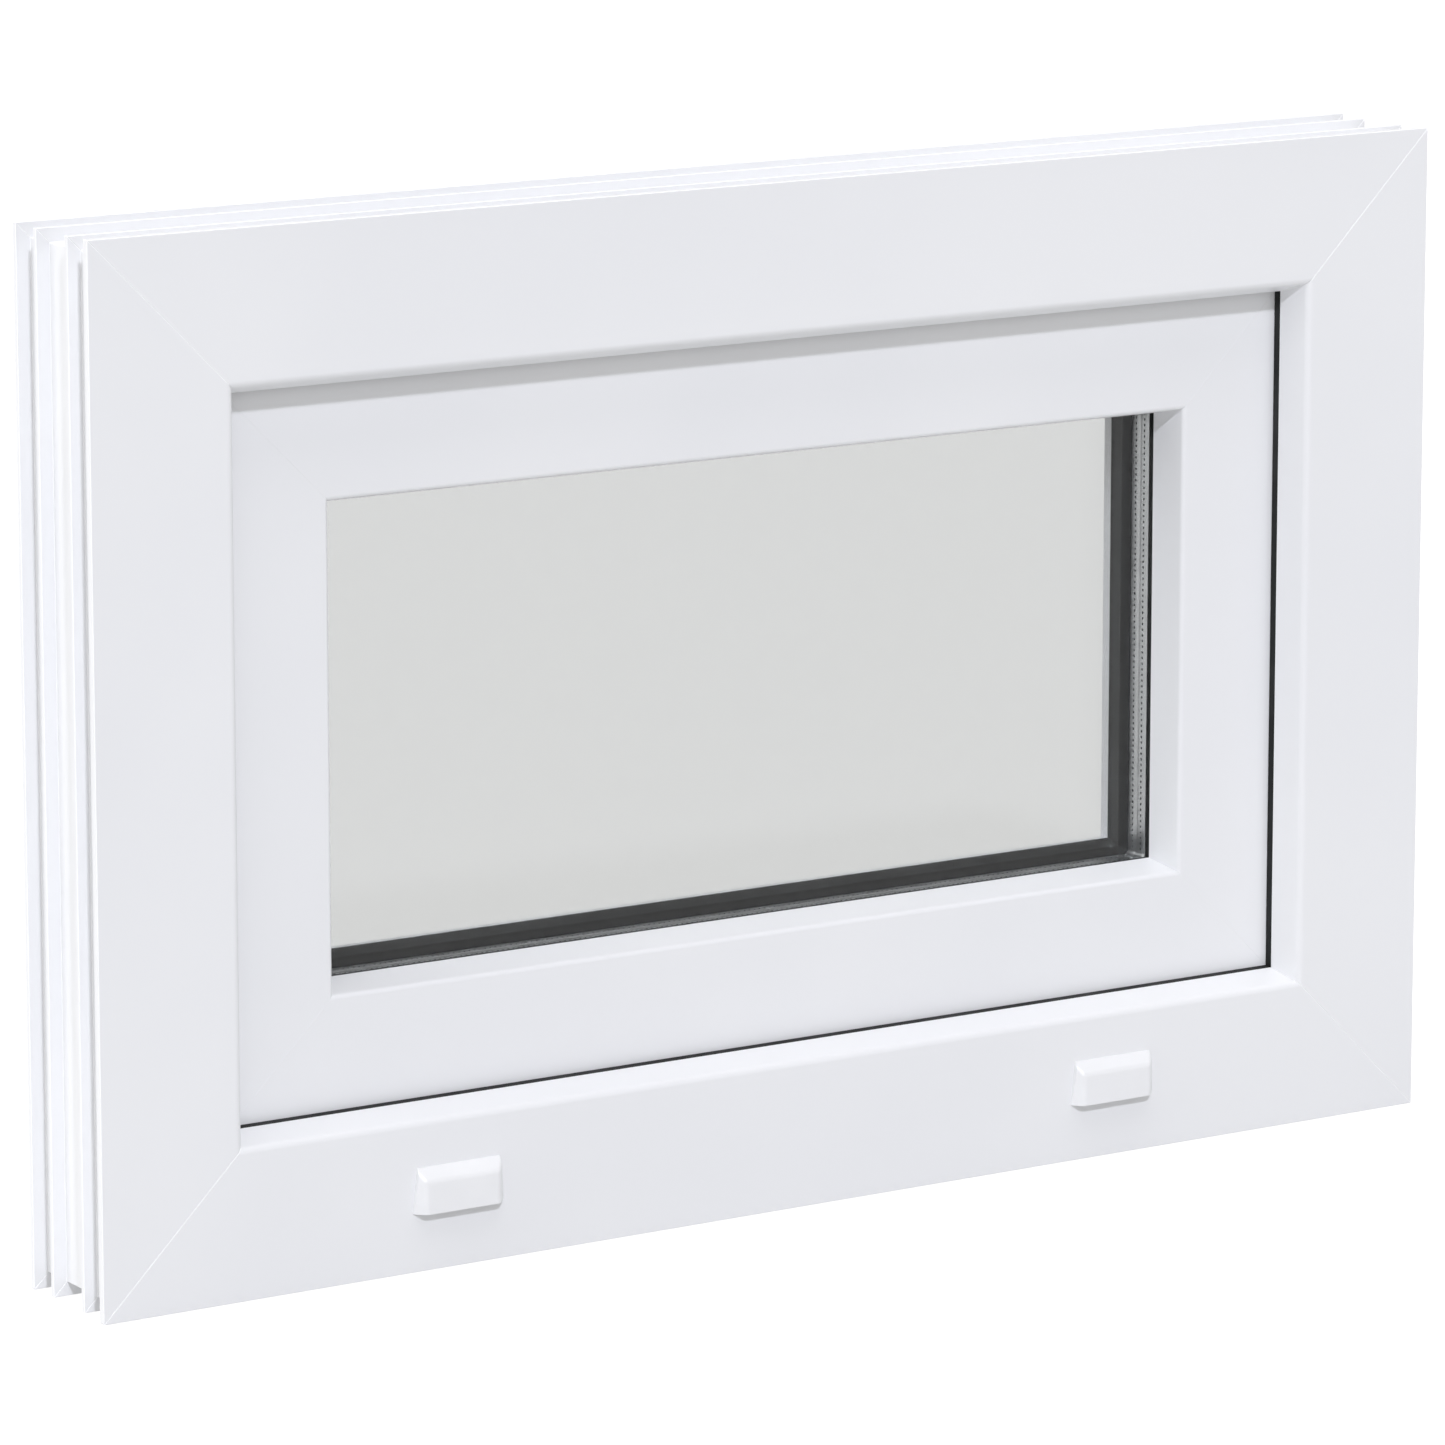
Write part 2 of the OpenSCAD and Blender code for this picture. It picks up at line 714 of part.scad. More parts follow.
// The hole for a countersunk screw whose head lies flush at z = 0
module screw_hole() {
    over = 1;
    slip_r = screw_r + screw_slip;
    head = screw_head_r - screw_r;
    translate([0, 0, -12]) cylinder(h = 12 + over, r = slip_r, $fn = round_fn);
    translate([0, 0, -head]) rotate_extrude($fn = round_fn)
        polygon([[0, 0], [slip_r, 0], [slip_r + head, head], [slip_r + head, head + over],
                 [0, head + over]]);
}

module keeper_upper() keeper(1);
module keeper_lower() keeper(-1);

module keeper_screws() {
    color(steel_grey) for (side = [-1, 1], s = [-1, 1])
        translate([left_x(rebate_floor + keeper_t), groove_mid + 2,
                   keeper_mid(side) + s * keeper_screw_from_mid])
            rotate([0, 90, 0]) screw(12);
}

module faceplate() {
    y = [groove_mid - plate_groove[0] / 2 + 0.1, groove_mid + plate_groove[0] / 2 - 0.1];
    slot_l = rail_travel + 2 * cam_shaft_r + 1;
    color(zinc_grey) difference() {
        block([left_x(sash_rebate), y[0], mid_z - plate_half_l],
              [left_x(sash_rebate + face_t), y[1], mid_z + plate_half_l]);
        // Slots that the cams slide in
        for (side = [-1, 1])
            translate([left_x(sash_rebate - 1), groove_mid, keeper_mid(side)])
                rotate([90, 0, 90]) linear_extrude(face_t + 2)
                    slot(2 * cam_shaft_r + 1, slot_l);
        for (s = [-1, 1])
            translate([left_x(sash_rebate), groove_mid, mid_z + s * plate_screw_from_mid])
                rotate([0, -90, 0]) screw_hole();
    }
}

module faceplate_screws() {
    color(steel_grey) for (s = [-1, 1])
        translate([left_x(sash_rebate), groove_mid, mid_z + s * plate_screw_from_mid])
            rotate([0, -90, 0]) screw(12);
}

module gearbox_body(y) {
    block([left_x(case_inset[0]), y[0], mid_z - case_half_h],
          [left_x(case_inset[1]), y[1], mid_z + case_half_h]);
}

// Cheeks that hold one half of the gearbox to the faceplate beside the rail
module gearbox_cheeks(y) {
    for (s = [-1, 1]) {
        mid = mid_z + s * (case_half_h - 6);
        block([left_x(sash_rebate + face_t), y[0], mid - 5],
              [left_x(case_inset[0] + 3), y[1], mid + 5]);
    }
}

// The bores for the gear's hub and the handle's screws
module gearbox_bores(y) {
    along_y(left_x(spindle_inset), y, mid_z, hub_r + running);
    for (s = [-1, 1])
        along_y(left_x(spindle_inset), y, mid_z + s * handle_screw_pitch / 2,
                m5_r + screw_slip);
}

module gearbox_case() {
    low = groove_mid - case_t / 2;
    high = groove_mid + case_t / 2;
    color(zinc_grey) difference() {
        union() {
            gearbox_body([low + case_wall, high]);
            gearbox_cheeks([high - cheek_t, high]);
        }
        along_y(left_x(spindle_inset), [low, high - case_wall], mid_z, tip_r + 0.5);
        gearbox_bores([low, high + 1]);
    }
}

module gearbox_lid() {
    low = groove_mid - case_t / 2;
    color(zinc_grey) difference() {
        union() {
            gearbox_body([low, low + case_wall]);
            gearbox_cheeks([low, low + cheek_t]);
        }
        gearbox_bores([low - 1, low + case_wall + 1]);
    }
}

// A point on an involute that starts on the base circle at angle zero
function involute(base_r, a) = [
    base_r * (cos(a) + a * PI / 180 * sin(a)),
    base_r * (sin(a) - a * PI / 180 * cos(a))
];

function turned(p, a) = [p[0] * cos(a) - p[1] * sin(a), p[0] * sin(a) + p[1] * cos(a)];

// Roll angle at which an involute reaches a radius
function roll_at(base_r, r) = sqrt(pow(r / base_r, 2) - 1) * 180 / PI;

module gear_outline() {
    base_r = pitch_r * cos(pressure);
    spread = roll_at(base_r, pitch_r) - pressure;
    half = 90 / gear_teeth + spread - backlash / pitch_r * 90 / PI;
    steps = 5;
    end = roll_at(base_r, tip_r);
    flank = [for (i = [0:steps]) involute(base_r, end * i / steps)];
    low = [for (p = flank) turned(p, -half)];
    polygon([
        for (t = [0:gear_teeth - 1])
            let (a = 360 / gear_teeth * t)
            for (p = concat([turned([root_r, 0], a - half)],
                            [for (p = low) turned(p, a)],
                            [for (i = [steps:-1:0]) turned([low[i][0], -low[i][1]], a)],
                            [turned([root_r, 0], a + half)]))
                p
    ]);
}

module drive_gear() {
    y = [groove_mid - case_t / 2 + case_wall + 0.2, groove_mid + case_t / 2 - case_wall - 0.2];
    hub = [groove_mid - case_t / 2 + 0.1, groove_mid + case_t / 2 - 0.1];
    hole = square_w / 2 + square_slip;
    x = left_x(spindle_inset);
    color(steel_grey) difference() {
        union() {
            translate([x, 0, mid_z]) plate_y(y) gear_outline();
            along_y(x, hub, mid_z, hub_r);
        }
        block([x - hole, hub[0] - 1, mid_z - hole], [x + hole, hub[1] + 1, mid_z + hole]);
    }
}

// Tooth of the rack, drawn with its width along y and its height along x
module rack_tooth() {
    tall = 2.25 * gear_module;
    half = PI * gear_module / 4 - backlash / 4;
    top = half - gear_module * tan(pressure);
    foot = half + 1.25 * gear_module * tan(pressure);
    polygon([[-0.2, -foot], [0, -foot], [tall, -top], [tall, top], [0, foot], [-0.2, foot]]);
}

module drive_rail() {
    y = [groove_mid - rail_w / 2, groove_mid + rail_w / 2];
    pitch = PI * gear_module;
    tooth_y = [groove_mid - gear_t / 2, groove_mid + gear_t / 2];
    color(zinc_grey) {
        block([left_x(rail_inset), y[0], mid_z + rail_ends[0]],
              [left_x(rail_in_back), y[1], mid_z + rail_ends[1]]);
        for (i = [rack_teeth[0]:rack_teeth[1]])
            translate([left_x(rail_in_back), 0, mid_z + (i + 0.5) * pitch])
                plate_y(tooth_y) rack_tooth();
    }
}

module locking_cams() {
    tip = sash_rebate - cam_out;
    color(steel_grey) for (side = [-1, 1])
        translate([left_x(tip), groove_mid, mid_z + side * cam_from_mid])
            rotate([0, 90, 0]) rotate_extrude($fn = round_fn)
                polygon([[0, 0], [cam_head_r - 0.6, 0], [cam_head_r, 0.6],
                         [cam_head_r, cam_head_t], [cam_shaft_r, cam_head_t],
                         [cam_shaft_r, rail_inset - tip], [0, rail_inset - tip]]);
}

// ---------------------------------------------------------------- handle

module handle_base() {
    y = [sash_back, sash_back + handle_base_size[2]];
    color(zinc_grey) difference() {
        translate([left_x(spindle_inset), 0, mid_z])
            plate_y(y) round_rect(handle_base_size[0], handle_base_size[1], 6);
        along_y(left_x(spindle_inset), [y[0] - 1, y[1] + 1], mid_z, neck_r + running);
        for (s = [-1, 1])
            along_y(left_x(spindle_inset), [y[0] - 1, y[1] + 1],
                    mid_z + s * handle_screw_pitch / 2, m5_r + screw_slip);
    }
}

module handle_rose_cover() {
    y = [sash_back, sash_back + rose_size[2]];
    x = left_x(spindle_inset);
    color(plastic_white) difference() {
        translate([x, 0, mid_z]) plate_y(y) round_rect(rose_size[0], rose_size[1], 7);
        translate([x, 0, mid_z]) plate_y([y[0] - 1, y[1] - 1.6])
            round_rect(rose_size[0] - 2 * rose_wall, rose_size[1] - 2 * rose_wall, 6);
        along_y(x, [y[0], y[1] + 1], mid_z, neck_r + 0.4);
    }
}

module handle_screws() {
    head_y = sash_back + handle_base_size[2];
    color(steel_grey) for (s = [-1, 1]) {
        along_y(left_x(spindle_inset), [groove_mid - case_t / 2 + 0.4, head_y],
                mid_z + s * handle_screw_pitch / 2, m5_r);
        along_y(left_x(spindle_inset), [head_y, head_y + m5_head_t],
                mid_z + s * handle_screw_pitch / 2, m5_head_r);
    }
}

module spindle() {
    half = square_w / 2;
    x = left_x(spindle_inset);
    color(steel_grey) block([x - half, groove_mid - case_t / 2 + 0.1, mid_z - half],
                            [x + half, sash_back + lever_gap - 6, mid_z + half]);
}

module handle_lever() {
    y = [sash_back + lever_gap, sash_back + lever_gap + lever_t];
    reach = lever_reach - lever_end_r;
    hole = square_w / 2 + square_slip;
    x = left_x(spindle_inset);
    color(plastic_white) difference() {
        union() {
            along_y(x, [sash_back + 0.4, y[0] + 2], mid_z, neck_r);
            translate([x, 0, mid_z]) plate_y(y) {
                circle(lever_head_r, $fn = round_fn);
                polygon([[0, -lever_head_r], [reach, -lever_end_r],
                         [reach, lever_end_r], [0, lever_head_r]]);
                translate([reach, 0]) circle(lever_end_r, $fn = round_fn);
            }
        }
        block([x - hole, sash_back - 1, mid_z - hole],
              [x + hole, sash_back + lever_gap - 5, mid_z + hole]);
    }
}

// ---------------------------------------------------------------- hinges

// Draws the lower hinge as it is and the upper one as its mirror image
module hinge_side(side) {
    if (side < 0)
        children();
    else
        translate([0, 0, window_h]) mirror([0, 0, 1]) children();
}

// The places of a bracket's three screws, each along Y
module hinge_screw_places(side) {
    hinge_side(side) for (rise = bracket_screw_rise)
        translate([right_x(bracket_screw_inset), 0, hinge_from_end - bracket_drop + rise])
            children();
}

module knuckle(from, to) {
    translate([axis_x, axis_y, from]) cylinder(h = to - from, r = knuckle_r, $fn = round_fn);
}

module pin_bore() {
    translate([axis_x, axis_y, -1]) cylinder(h = window_h / 2, r = pin_r + running, $fn = round_fn);
}

module hinge_bracket(side) {
    low = hinge_from_end;
    plate_low = low - bracket_drop;
    color(zinc_grey) difference() {
        hinge_side(side) difference() {
            union() {
                block([right_x(bracket_inset[1]), frame_depth, plate_low],
                      [right_x(bracket_inset[0]), frame_depth + bracket_t,
                       plate_low + bracket_wide_l]);
                block([right_x(bracket_step_inset), frame_depth, plate_low],
                      [right_x(bracket_inset[0]), frame_depth + bracket_t,
                       plate_low + bracket_l]);
                block([axis_x - web_half, frame_depth + 1, low],
                      [axis_x + web_half, axis_y, low + knuckle_l]);
                knuckle(low, low + knuckle_l);
            }
            pin_bore();
        }
        hinge_screw_places(side)
            translate([0, frame_depth + bracket_t, 0]) rotate([-90, 0, 0]) screw_hole();
    }
}

module hinge_bracket_upper() hinge_bracket(1);
module hinge_bracket_lower() hinge_bracket(-1);

module hinge_bracket_screws() {
    color(steel_grey) for (side = [-1, 1]) hinge_screw_places(side)
        translate([0, frame_depth + bracket_t, 0]) rotate([-90, 0, 0]) screw(14);
}

module hinge_pin(side) {
    color(steel_grey) hinge_side(side)
        translate([axis_x, axis_y, hinge_from_end + 1])
            cylinder(h = 2 * knuckle_l + knuckle_gap - 3, r = pin_r, $fn = round_fn);
}

module hinge_pin_upper() hinge_pin(1);
module hinge_pin_lower() hinge_pin(-1);

// White cover over the bracket's plate and knuckle
module hinge_cover(side) {
    low = hinge_from_end;
    plate_low = low - bracket_drop;
    inner = knuckle_r + cover_slip;
    skin = frame_depth + bracket_t;
    front = skin + cover_front_t;
    edge_x = right_x(bracket_inset[0] - 1.5);
    color(plastic_white) hinge_side(side) difference() {
        union() {
            block([right_x(bracket_inset[1] + 1), skin, plate_low - 1],
                  [edge_x, front, plate_low + bracket_wide_l + 0.4]);
            block([right_x(bracket_step_inset), skin, plate_low - 1],
                  [edge_x, front, plate_low + bracket_l + 1]);
            intersection() {
                translate([axis_x, axis_y, low - cover_t])
                    cylinder(h = knuckle_l + cover_t, r = inner + cover_t, $fn = round_fn);
                block([axis_x - 10, skin, low - 5], [axis_x + 10, axis_y + 10, low + knuckle_l]);
            }
        }
        translate([axis_x, axis_y, low])
            cylinder(h = knuckle_l + 40, r = inner, $fn = round_fn);
        block([axis_x - web_half - cover_slip, skin - 1, low - cover_slip],
              [axis_x + web_half + cover_slip, axis_y, low + knuckle_l + 1]);
    }
}

module hinge_cover_upper() hinge_cover(1);
module hinge_cover_lower() hinge_cover(-1);

// The places of a leaf's three screws, each pointing out of the sash along X
module leaf_screw_places(side) {
    low = hinge_from_end + knuckle_l + knuckle_gap;
    hinge_side(side) for (rise = leaf_screw_rise)
        translate([right_x(sash_rebate - leaf_t), groove_mid, low + rise]) children();
}

module hinge_leaf(side) {
    low = hinge_from_end + knuckle_l + knuckle_gap;
    leaf = low + 0.2;
    deep = sash_rebate - leaf_t;
    color(zinc_grey) difference() {
        hinge_side(side) difference() {
            union() {
                knuckle(low, low + knuckle_l);
                block([axis_x - web_half, leaf_y + 1, leaf],
                      [axis_x + web_half, axis_y, leaf + leaf_l]);
                // Leaf that passes between the frame and the sash's overlap
                block([right_x(sash_rebate), leaf_y, leaf],
                      [right_x(axis_inset - 1), leaf_y + leaf_t, leaf + leaf_l]);
                // Plate against the sash's rebate face
                block([right_x(sash_rebate), leaf_y - leaf_plate_depth, leaf],
                      [right_x(deep), leaf_y + leaf_t, leaf + leaf_l]);
                block([right_x(sash_rebate), leaf_y - leaf_plate_depth, leaf],
                      [right_x(deep), lap_y - 4, leaf + leaf_plate_l]);
            }
            pin_bore();
        }
        leaf_screw_places(side) rotate([0, 90, 0]) screw_hole();
    }
}

module hinge_leaf_upper() hinge_leaf(1);
module hinge_leaf_lower() hinge_leaf(-1);

module hinge_leaf_screws() {
    color(steel_grey) for (side = [-1, 1])
        leaf_screw_places(side) rotate([0, 90, 0]) screw(14);
}

module knuckle_cover(side) {
    low = hinge_from_end + knuckle_l + knuckle_gap;
    inner = knuckle_r + cover_slip;
    color(plastic_white) hinge_side(side) difference() {
        intersection() {
            translate([axis_x, axis_y, low])
                cylinder(h = knuckle_l + cover_t, r = inner + cover_t, $fn = round_fn);
            block([axis_x - 10, lap_y + 0.2, low],
                  [axis_x + 10, axis_y + 10, low + knuckle_l + 5]);
        }
        translate([axis_x, axis_y, low - 1])
            cylinder(h = knuckle_l + 1, r = inner, $fn = round_fn);
        block([axis_x - web_half - cover_slip, lap_y - 1, low - 1],
              [axis_x + web_half + cover_slip, axis_y, low + knuckle_l]);
    }
}

module knuckle_cover_upper() knuckle_cover(1);
module knuckle_cover_lower() knuckle_cover(-1);

frame_sill();
frame_head();
frame_jamb_left();
frame_jamb_right();
frame_steel_sill();
frame_steel_head();
frame_steel_left();
frame_steel_right();
frame_gasket();
drain_cap_left();
drain_cap_right();
keeper_upper();
keeper_lower();
keeper_screws();
hinge_bracket_upper();
hinge_bracket_lower();
hinge_pin_upper();
hinge_pin_lower();
hinge_bracket_screws();
hinge_cover_upper();
hinge_cover_lower();
sash_bottom_rail();
sash_top_rail();
sash_stile_left();
sash_stile_right();
sash_steel_bottom();
sash_steel_top();
sash_steel_left();
sash_steel_right();
overlap_gasket();
outdoor_glazing_gasket();
room_glazing_gasket();
glazing_bead_bottom();
glazing_bead_top();
glazing_bead_left();
glazing_bead_right();
outdoor_pane();
room_pane();
spacer_bar();
desiccant();
edge_sealant();
glazing_packers();
hinge_leaf_upper();
hinge_leaf_lower();
hinge_leaf_screws();
knuckle_cover_upper();
knuckle_cover_lower();
gearbox_case();
gearbox_lid();
faceplate();
faceplate_screws();
handle_base();
handle_rose_cover();
handle_screws();
drive_rail();
locking_cams();
drive_gear();
spindle();
handle_lever();
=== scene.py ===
"""Looks of a white plastic casement window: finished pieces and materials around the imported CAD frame.

Everything is in metres and in the CAD frame: X runs along the width, Y from the outdoor face to the
room and Z up, with the sill's lowest outdoor edge at the origin.
"""
import json
from math import cos, pi, radians, sin, sqrt

import bmesh
import bpy
from mathutils import Matrix, Vector


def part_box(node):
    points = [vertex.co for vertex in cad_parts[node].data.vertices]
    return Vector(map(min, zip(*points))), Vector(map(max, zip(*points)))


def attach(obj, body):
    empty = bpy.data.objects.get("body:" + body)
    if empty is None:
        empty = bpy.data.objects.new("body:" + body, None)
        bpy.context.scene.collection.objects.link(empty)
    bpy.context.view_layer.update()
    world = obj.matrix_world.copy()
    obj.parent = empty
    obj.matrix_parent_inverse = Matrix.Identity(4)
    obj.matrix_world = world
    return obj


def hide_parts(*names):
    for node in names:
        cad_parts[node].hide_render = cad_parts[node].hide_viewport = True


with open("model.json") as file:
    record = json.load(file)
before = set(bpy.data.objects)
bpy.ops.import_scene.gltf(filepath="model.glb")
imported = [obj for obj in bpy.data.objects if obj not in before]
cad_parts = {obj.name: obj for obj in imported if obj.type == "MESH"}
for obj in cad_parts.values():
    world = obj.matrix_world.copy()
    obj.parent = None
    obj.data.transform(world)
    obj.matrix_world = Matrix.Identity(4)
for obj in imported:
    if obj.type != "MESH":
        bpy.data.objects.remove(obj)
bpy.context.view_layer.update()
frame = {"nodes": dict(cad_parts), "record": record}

MM = 0.001
record = frame["record"]
slot_of = {part["node"]: part["material_slot"] for part in record["subparts"]}
body_of = {node: body for body, nodes in record["behaviour"]["bodies"].items() for node in nodes}

HALF_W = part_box("frame_sill")[1].x
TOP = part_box("frame_head")[1].z
PLASTIC_IOR = 1.5
GLASS_IOR = 1.5


# ---------------------------------------------------------------- materials

# The Mix node's sockets for colours: factor, first and second colour, and the result
COLOUR_MIX_INPUTS = (0, 6, 7)
COLOUR_MIX_OUTPUT = 2


class Finish:
    """A Principled material whose colour, roughness and surface vary over the object."""

    def __init__(self, name, colour, roughness, **constants):
        self.material = bpy.data.materials.new(name)
        self.material.use_nodes = True
        self.tree = self.material.node_tree
        self.shader = self.tree.nodes["Principled BSDF"]
        self.output = self.tree.nodes["Material Output"]
        self.place = self.add("ShaderNodeTexCoord").outputs["Object"]
        self.shader.inputs["Base Color"].default_value = (*colour, 1)
        self.shader.inputs["Roughness"].default_value = roughness
        for socket, value in constants.items():
            self.shader.inputs[socket.replace("_", " ")].default_value = value

    def add(self, kind, settings=(), links=(), **values):
        """A new node with its settings, linked inputs and constant inputs."""
        node = self.tree.nodes.new(kind)
        for key, value in dict(settings).items():
            setattr(node, key, value)
        for key, value in values.items():
            node.inputs[key.replace("_", " ")].default_value = value
        for key, source in dict(links).items():
            self.tree.links.new(source, node.inputs[key])
        return node

    def stretched(self, scale):
        """Object coordinates, stretched by a factor along each axis."""
        node = self.add("ShaderNodeMapping", links={"Vector": self.place}, Scale=scale)
        return node.outputs["Vector"]

    def noise(self, scale, stretch=(1, 1, 1), detail=3.0, contrast=None):
        """Soft noise from 0 to 1, made harder where contrast gives its two ends."""
        node = self.add("ShaderNodeTexNoise", links={"Vector": self.stretched(stretch)},
                        Scale=scale, Detail=detail)
        factor = node.outputs["Fac"]
        return factor if contrast is None else self.ranged(factor, contrast, (0, 1))

    def cells(self, scale, output="Distance"):
        """Rounded cells: the distance from each cell's middle, or a colour for each cell."""
        node = self.add("ShaderNodeTexVoronoi", links={"Vector": self.place}, Scale=scale)
        return node.outputs[output]

    def ranged(self, factor, source, target):
        """The factor, led smoothly from the source range to the target range."""
        node = self.add("ShaderNodeMapRange", {"interpolation_type": "SMOOTHSTEP"}, {"Value": factor})
        for key, value in zip(("From Min", "From Max", "To Min", "To Max"), (*source, *target)):
            node.inputs[key].default_value = value
        return node.outputs["Result"]

    def vary_colour(self, factor, low, high):
        node = self.add("ShaderNodeMix", {"data_type": "RGBA"})
        mix_factor, first, second = (node.inputs[number] for number in COLOUR_MIX_INPUTS)
        self.tree.links.new(factor, mix_factor)
        first.default_value = (*low, 1)
        second.default_value = (*high, 1)
        mixed = node.outputs[COLOUR_MIX_OUTPUT]
        self.tree.links.new(mixed, self.shader.inputs["Base Color"])
        return self

    def vary_roughness(self, factor, low, high):
        self.tree.links.new(self.ranged(factor, (0, 1), (low, high)), self.shader.inputs["Roughness"])
        return self

    def bump(self, height, distance):
        """Adds relief of the given height in metres on top of the relief already there."""
        node = self.add("ShaderNodeBump", links={"Height": height}, Distance=distance)
        normal = self.shader.inputs["Normal"]
        if normal.is_linked:
            self.tree.links.new(normal.links[0].from_socket, node.inputs["Normal"])
        self.tree.links.new(node.outputs["Normal"], normal)
        return self


DIE_LINE_STRETCH = 0.004


def pvc(name, along):
    """Extruded white plastic, with faint die lines along one axis."""
    stretch = [1, 1, 1]
    stretch["XYZ".index(along)] = DIE_LINE_STRETCH
    finish = Finish(name, (0.84, 0.85, 0.87), 0.38, IOR=PLASTIC_IOR)
    lines = finish.noise(900, stretch, 2)
    clouds = finish.noise(7, detail=2, contrast=(0.35, 0.65))
    finish.vary_colour(clouds, (0.842, 0.85, 0.868), (0.862, 0.869, 0.884))
    finish.vary_roughness(lines, 0.30, 0.44)
    finish.bump(lines, 0.000012)
    return finish.bump(finish.noise(420, detail=2), 0.000008).material


def moulded_white(name, colour, roughness, grain):
    """Injection-moulded or powder-coated white with a fine grain."""
    finish = Finish(name, colour, roughness, IOR=PLASTIC_IOR)
    darker = [0.985 * value for value in colour]
    finish.vary_colour(finish.noise(60, contrast=(0.35, 0.7)), darker, colour)
    finish.vary_roughness(finish.noise(150), roughness - 0.06, roughness + 0.08)
    return finish.bump(finish.noise(1600, detail=1), grain).material


def rubber():
    """Black sealing rubber with a faint bloom and a matt skin."""
    finish = Finish("black_rubber", (0.012, 0.013, 0.013), 0.6, IOR=PLASTIC_IOR,
                    Specular_IOR_Level=0.28)
    bloom = finish.noise(45, contrast=(0.4, 0.75))
    finish.vary_colour(bloom, (0.01, 0.011, 0.011), (0.022, 0.023, 0.023))
    finish.vary_roughness(finish.noise(130), 0.5, 0.68)
    return finish.bump(finish.noise(260, detail=2), 0.00002).material


def galvanised():
    """Galvanised steel strip with its zinc crystals."""
    finish = Finish("galvanised_steel", (0.6, 0.61, 0.63), 0.4, Metallic=1.0)
    crystal = finish.cells(90, output="Color")
    grey = finish.add("ShaderNodeSeparateColor", links={"Color": crystal}).outputs["Red"]
    finish.vary_colour(grey, (0.48, 0.5, 0.52), (0.68, 0.69, 0.7))
    finish.vary_roughness(grey, 0.3, 0.52)
    return finish.bump(finish.noise(300), 0.00002).material


def plated(name, colour, roughness, scale):
    """Zinc-plated metal: fine rolling marks with a slightly blotchy passivation."""
    finish = Finish(name, colour, roughness, Metallic=1.0)
    warm = [value * tint for value, tint in zip(colour, (1.0, 0.97, 0.9))]
    finish.vary_colour(finish.noise(scale, contrast=(0.38, 0.68)), warm, colour)
    finish.vary_roughness(finish.noise(scale * 8, (1, 1, 0.1)), roughness - 0.09, roughness + 0.12)
    return finish.bump(finish.noise(1100, (1, 1, 0.08), 2), 0.00001).material


def aluminium(name):
    """Mill-finished aluminium strip, drawn along its length."""
    finish = Finish(name, (0.66, 0.67, 0.68), 0.34, Metallic=1.0)
    lines = finish.noise(1400, (1, 1, 0.05), 2)
    finish.vary_colour(finish.noise(70), (0.56, 0.57, 0.58), (0.72, 0.73, 0.74))
    finish.vary_roughness(lines, 0.26, 0.46)
    return finish.bump(lines, 0.00001).material


GLASS_TINT = (0.735, 0.739, 0.737)
GLASS_GLARE = (0.55, 0.55, 0.55, 1)
GLASS_SHADE = (0.86, 0.87, 0.865, 1)


def glass():
    """Clear float glass with a very slight waviness. Light from the lamps passes straight through."""
    finish = Finish("float_glass", GLASS_TINT, 0.0, IOR=GLASS_IOR, Transmission_Weight=1.0,
                    Specular_Tint=GLASS_GLARE)
    finish.bump(finish.noise(9, detail=1), 0.00001)
    clear = finish.add("ShaderNodeBsdfTransparent", Color=GLASS_SHADE)
    mix = finish.add("ShaderNodeMixShader")
    shadow = finish.add("ShaderNodeLightPath").outputs["Is Shadow Ray"]
    sockets = (shadow, finish.shader.outputs["BSDF"], clear.outputs["BSDF"])
    for source, target in zip(sockets, mix.inputs):
        finish.tree.links.new(source, target)
    finish.tree.links.new(mix.outputs["Shader"], finish.output.inputs["Surface"])
    return finish.material


def desiccant_beads():
    """Small clay-coloured beads packed against each other, with painted shade darkening the crevices
    between them.
    """
    finish = Finish("desiccant_beads", (0.62, 0.52, 0.4), 0.85)
    distance_from_bead_top = finish.cells(900)
    # Light on each bead's top and dark towards its edge: painted shade in the crevices between the
    # beads.
    finish.vary_colour(distance_from_bead_top, (0.74, 0.66, 0.54), (0.3, 0.24, 0.18))
    return finish.bump(finish.ranged(distance_from_bead_top, (0, 0.7), (1, 0)), 0.0004).material


def butyl():
    """Black sealant, gunned in and struck off, so its skin is uneven."""
    finish = Finish("butyl_sealant", (0.02, 0.02, 0.021), 0.45)
    finish.vary_roughness(finish.noise(90), 0.3, 0.7)
    finish.vary_colour(finish.noise(50), (0.012, 0.012, 0.013), (0.036, 0.036, 0.038))
    return finish.bump(finish.noise(120, detail=4), 0.0003).material


def packer_plastic():
    """Blue moulded packer with a fine grip pattern."""
    finish = Finish("packer_plastic", (0.05, 0.14, 0.42), 0.5)
    ribs = finish.add("ShaderNodeTexWave", {"bands_direction": "DIAGONAL"},
                      {"Vector": finish.place}, Scale=260)
    finish.vary_colour(finish.noise(80), (0.042, 0.12, 0.37), (0.06, 0.16, 0.47))
    finish.vary_roughness(finish.noise(200), 0.42, 0.6)
    return finish.bump(ribs.outputs["Fac"], 0.00012).material


pvc_across = pvc("white_pvc_across", "X")
pvc_upright = pvc("white_pvc_upright", "Z")
# A whiter, glossier white for the frame's weld grooves: a painted highlight along each weld line.
painted_weld_highlight = moulded_white("painted_weld_highlight", (0.965, 0.97, 0.98), 0.3, 0.00001)
UPRIGHT = ("left", "right")
paint = {
    "white_caps": moulded_white("moulded_white", (0.87, 0.876, 0.89), 0.34, 0.00001),
    "galvanised_steel": galvanised(),
    "black_gasket": rubber(),
    "zinc_hardware": plated("zinc_plate", (0.62, 0.63, 0.65), 0.34, 40),
    "screw_steel": plated("screw_steel", (0.55, 0.56, 0.58), 0.26, 160),
    "clear_glass": glass(),
    "spacer_metal": aluminium("spacer_aluminium"),
    "desiccant_beads": desiccant_beads(),
    "butyl_sealant": butyl(),
    "packer_plastic": packer_plastic(),
    "white_handle": moulded_white("powder_coat_white", (0.86, 0.866, 0.88), 0.3, 0.00002),
}


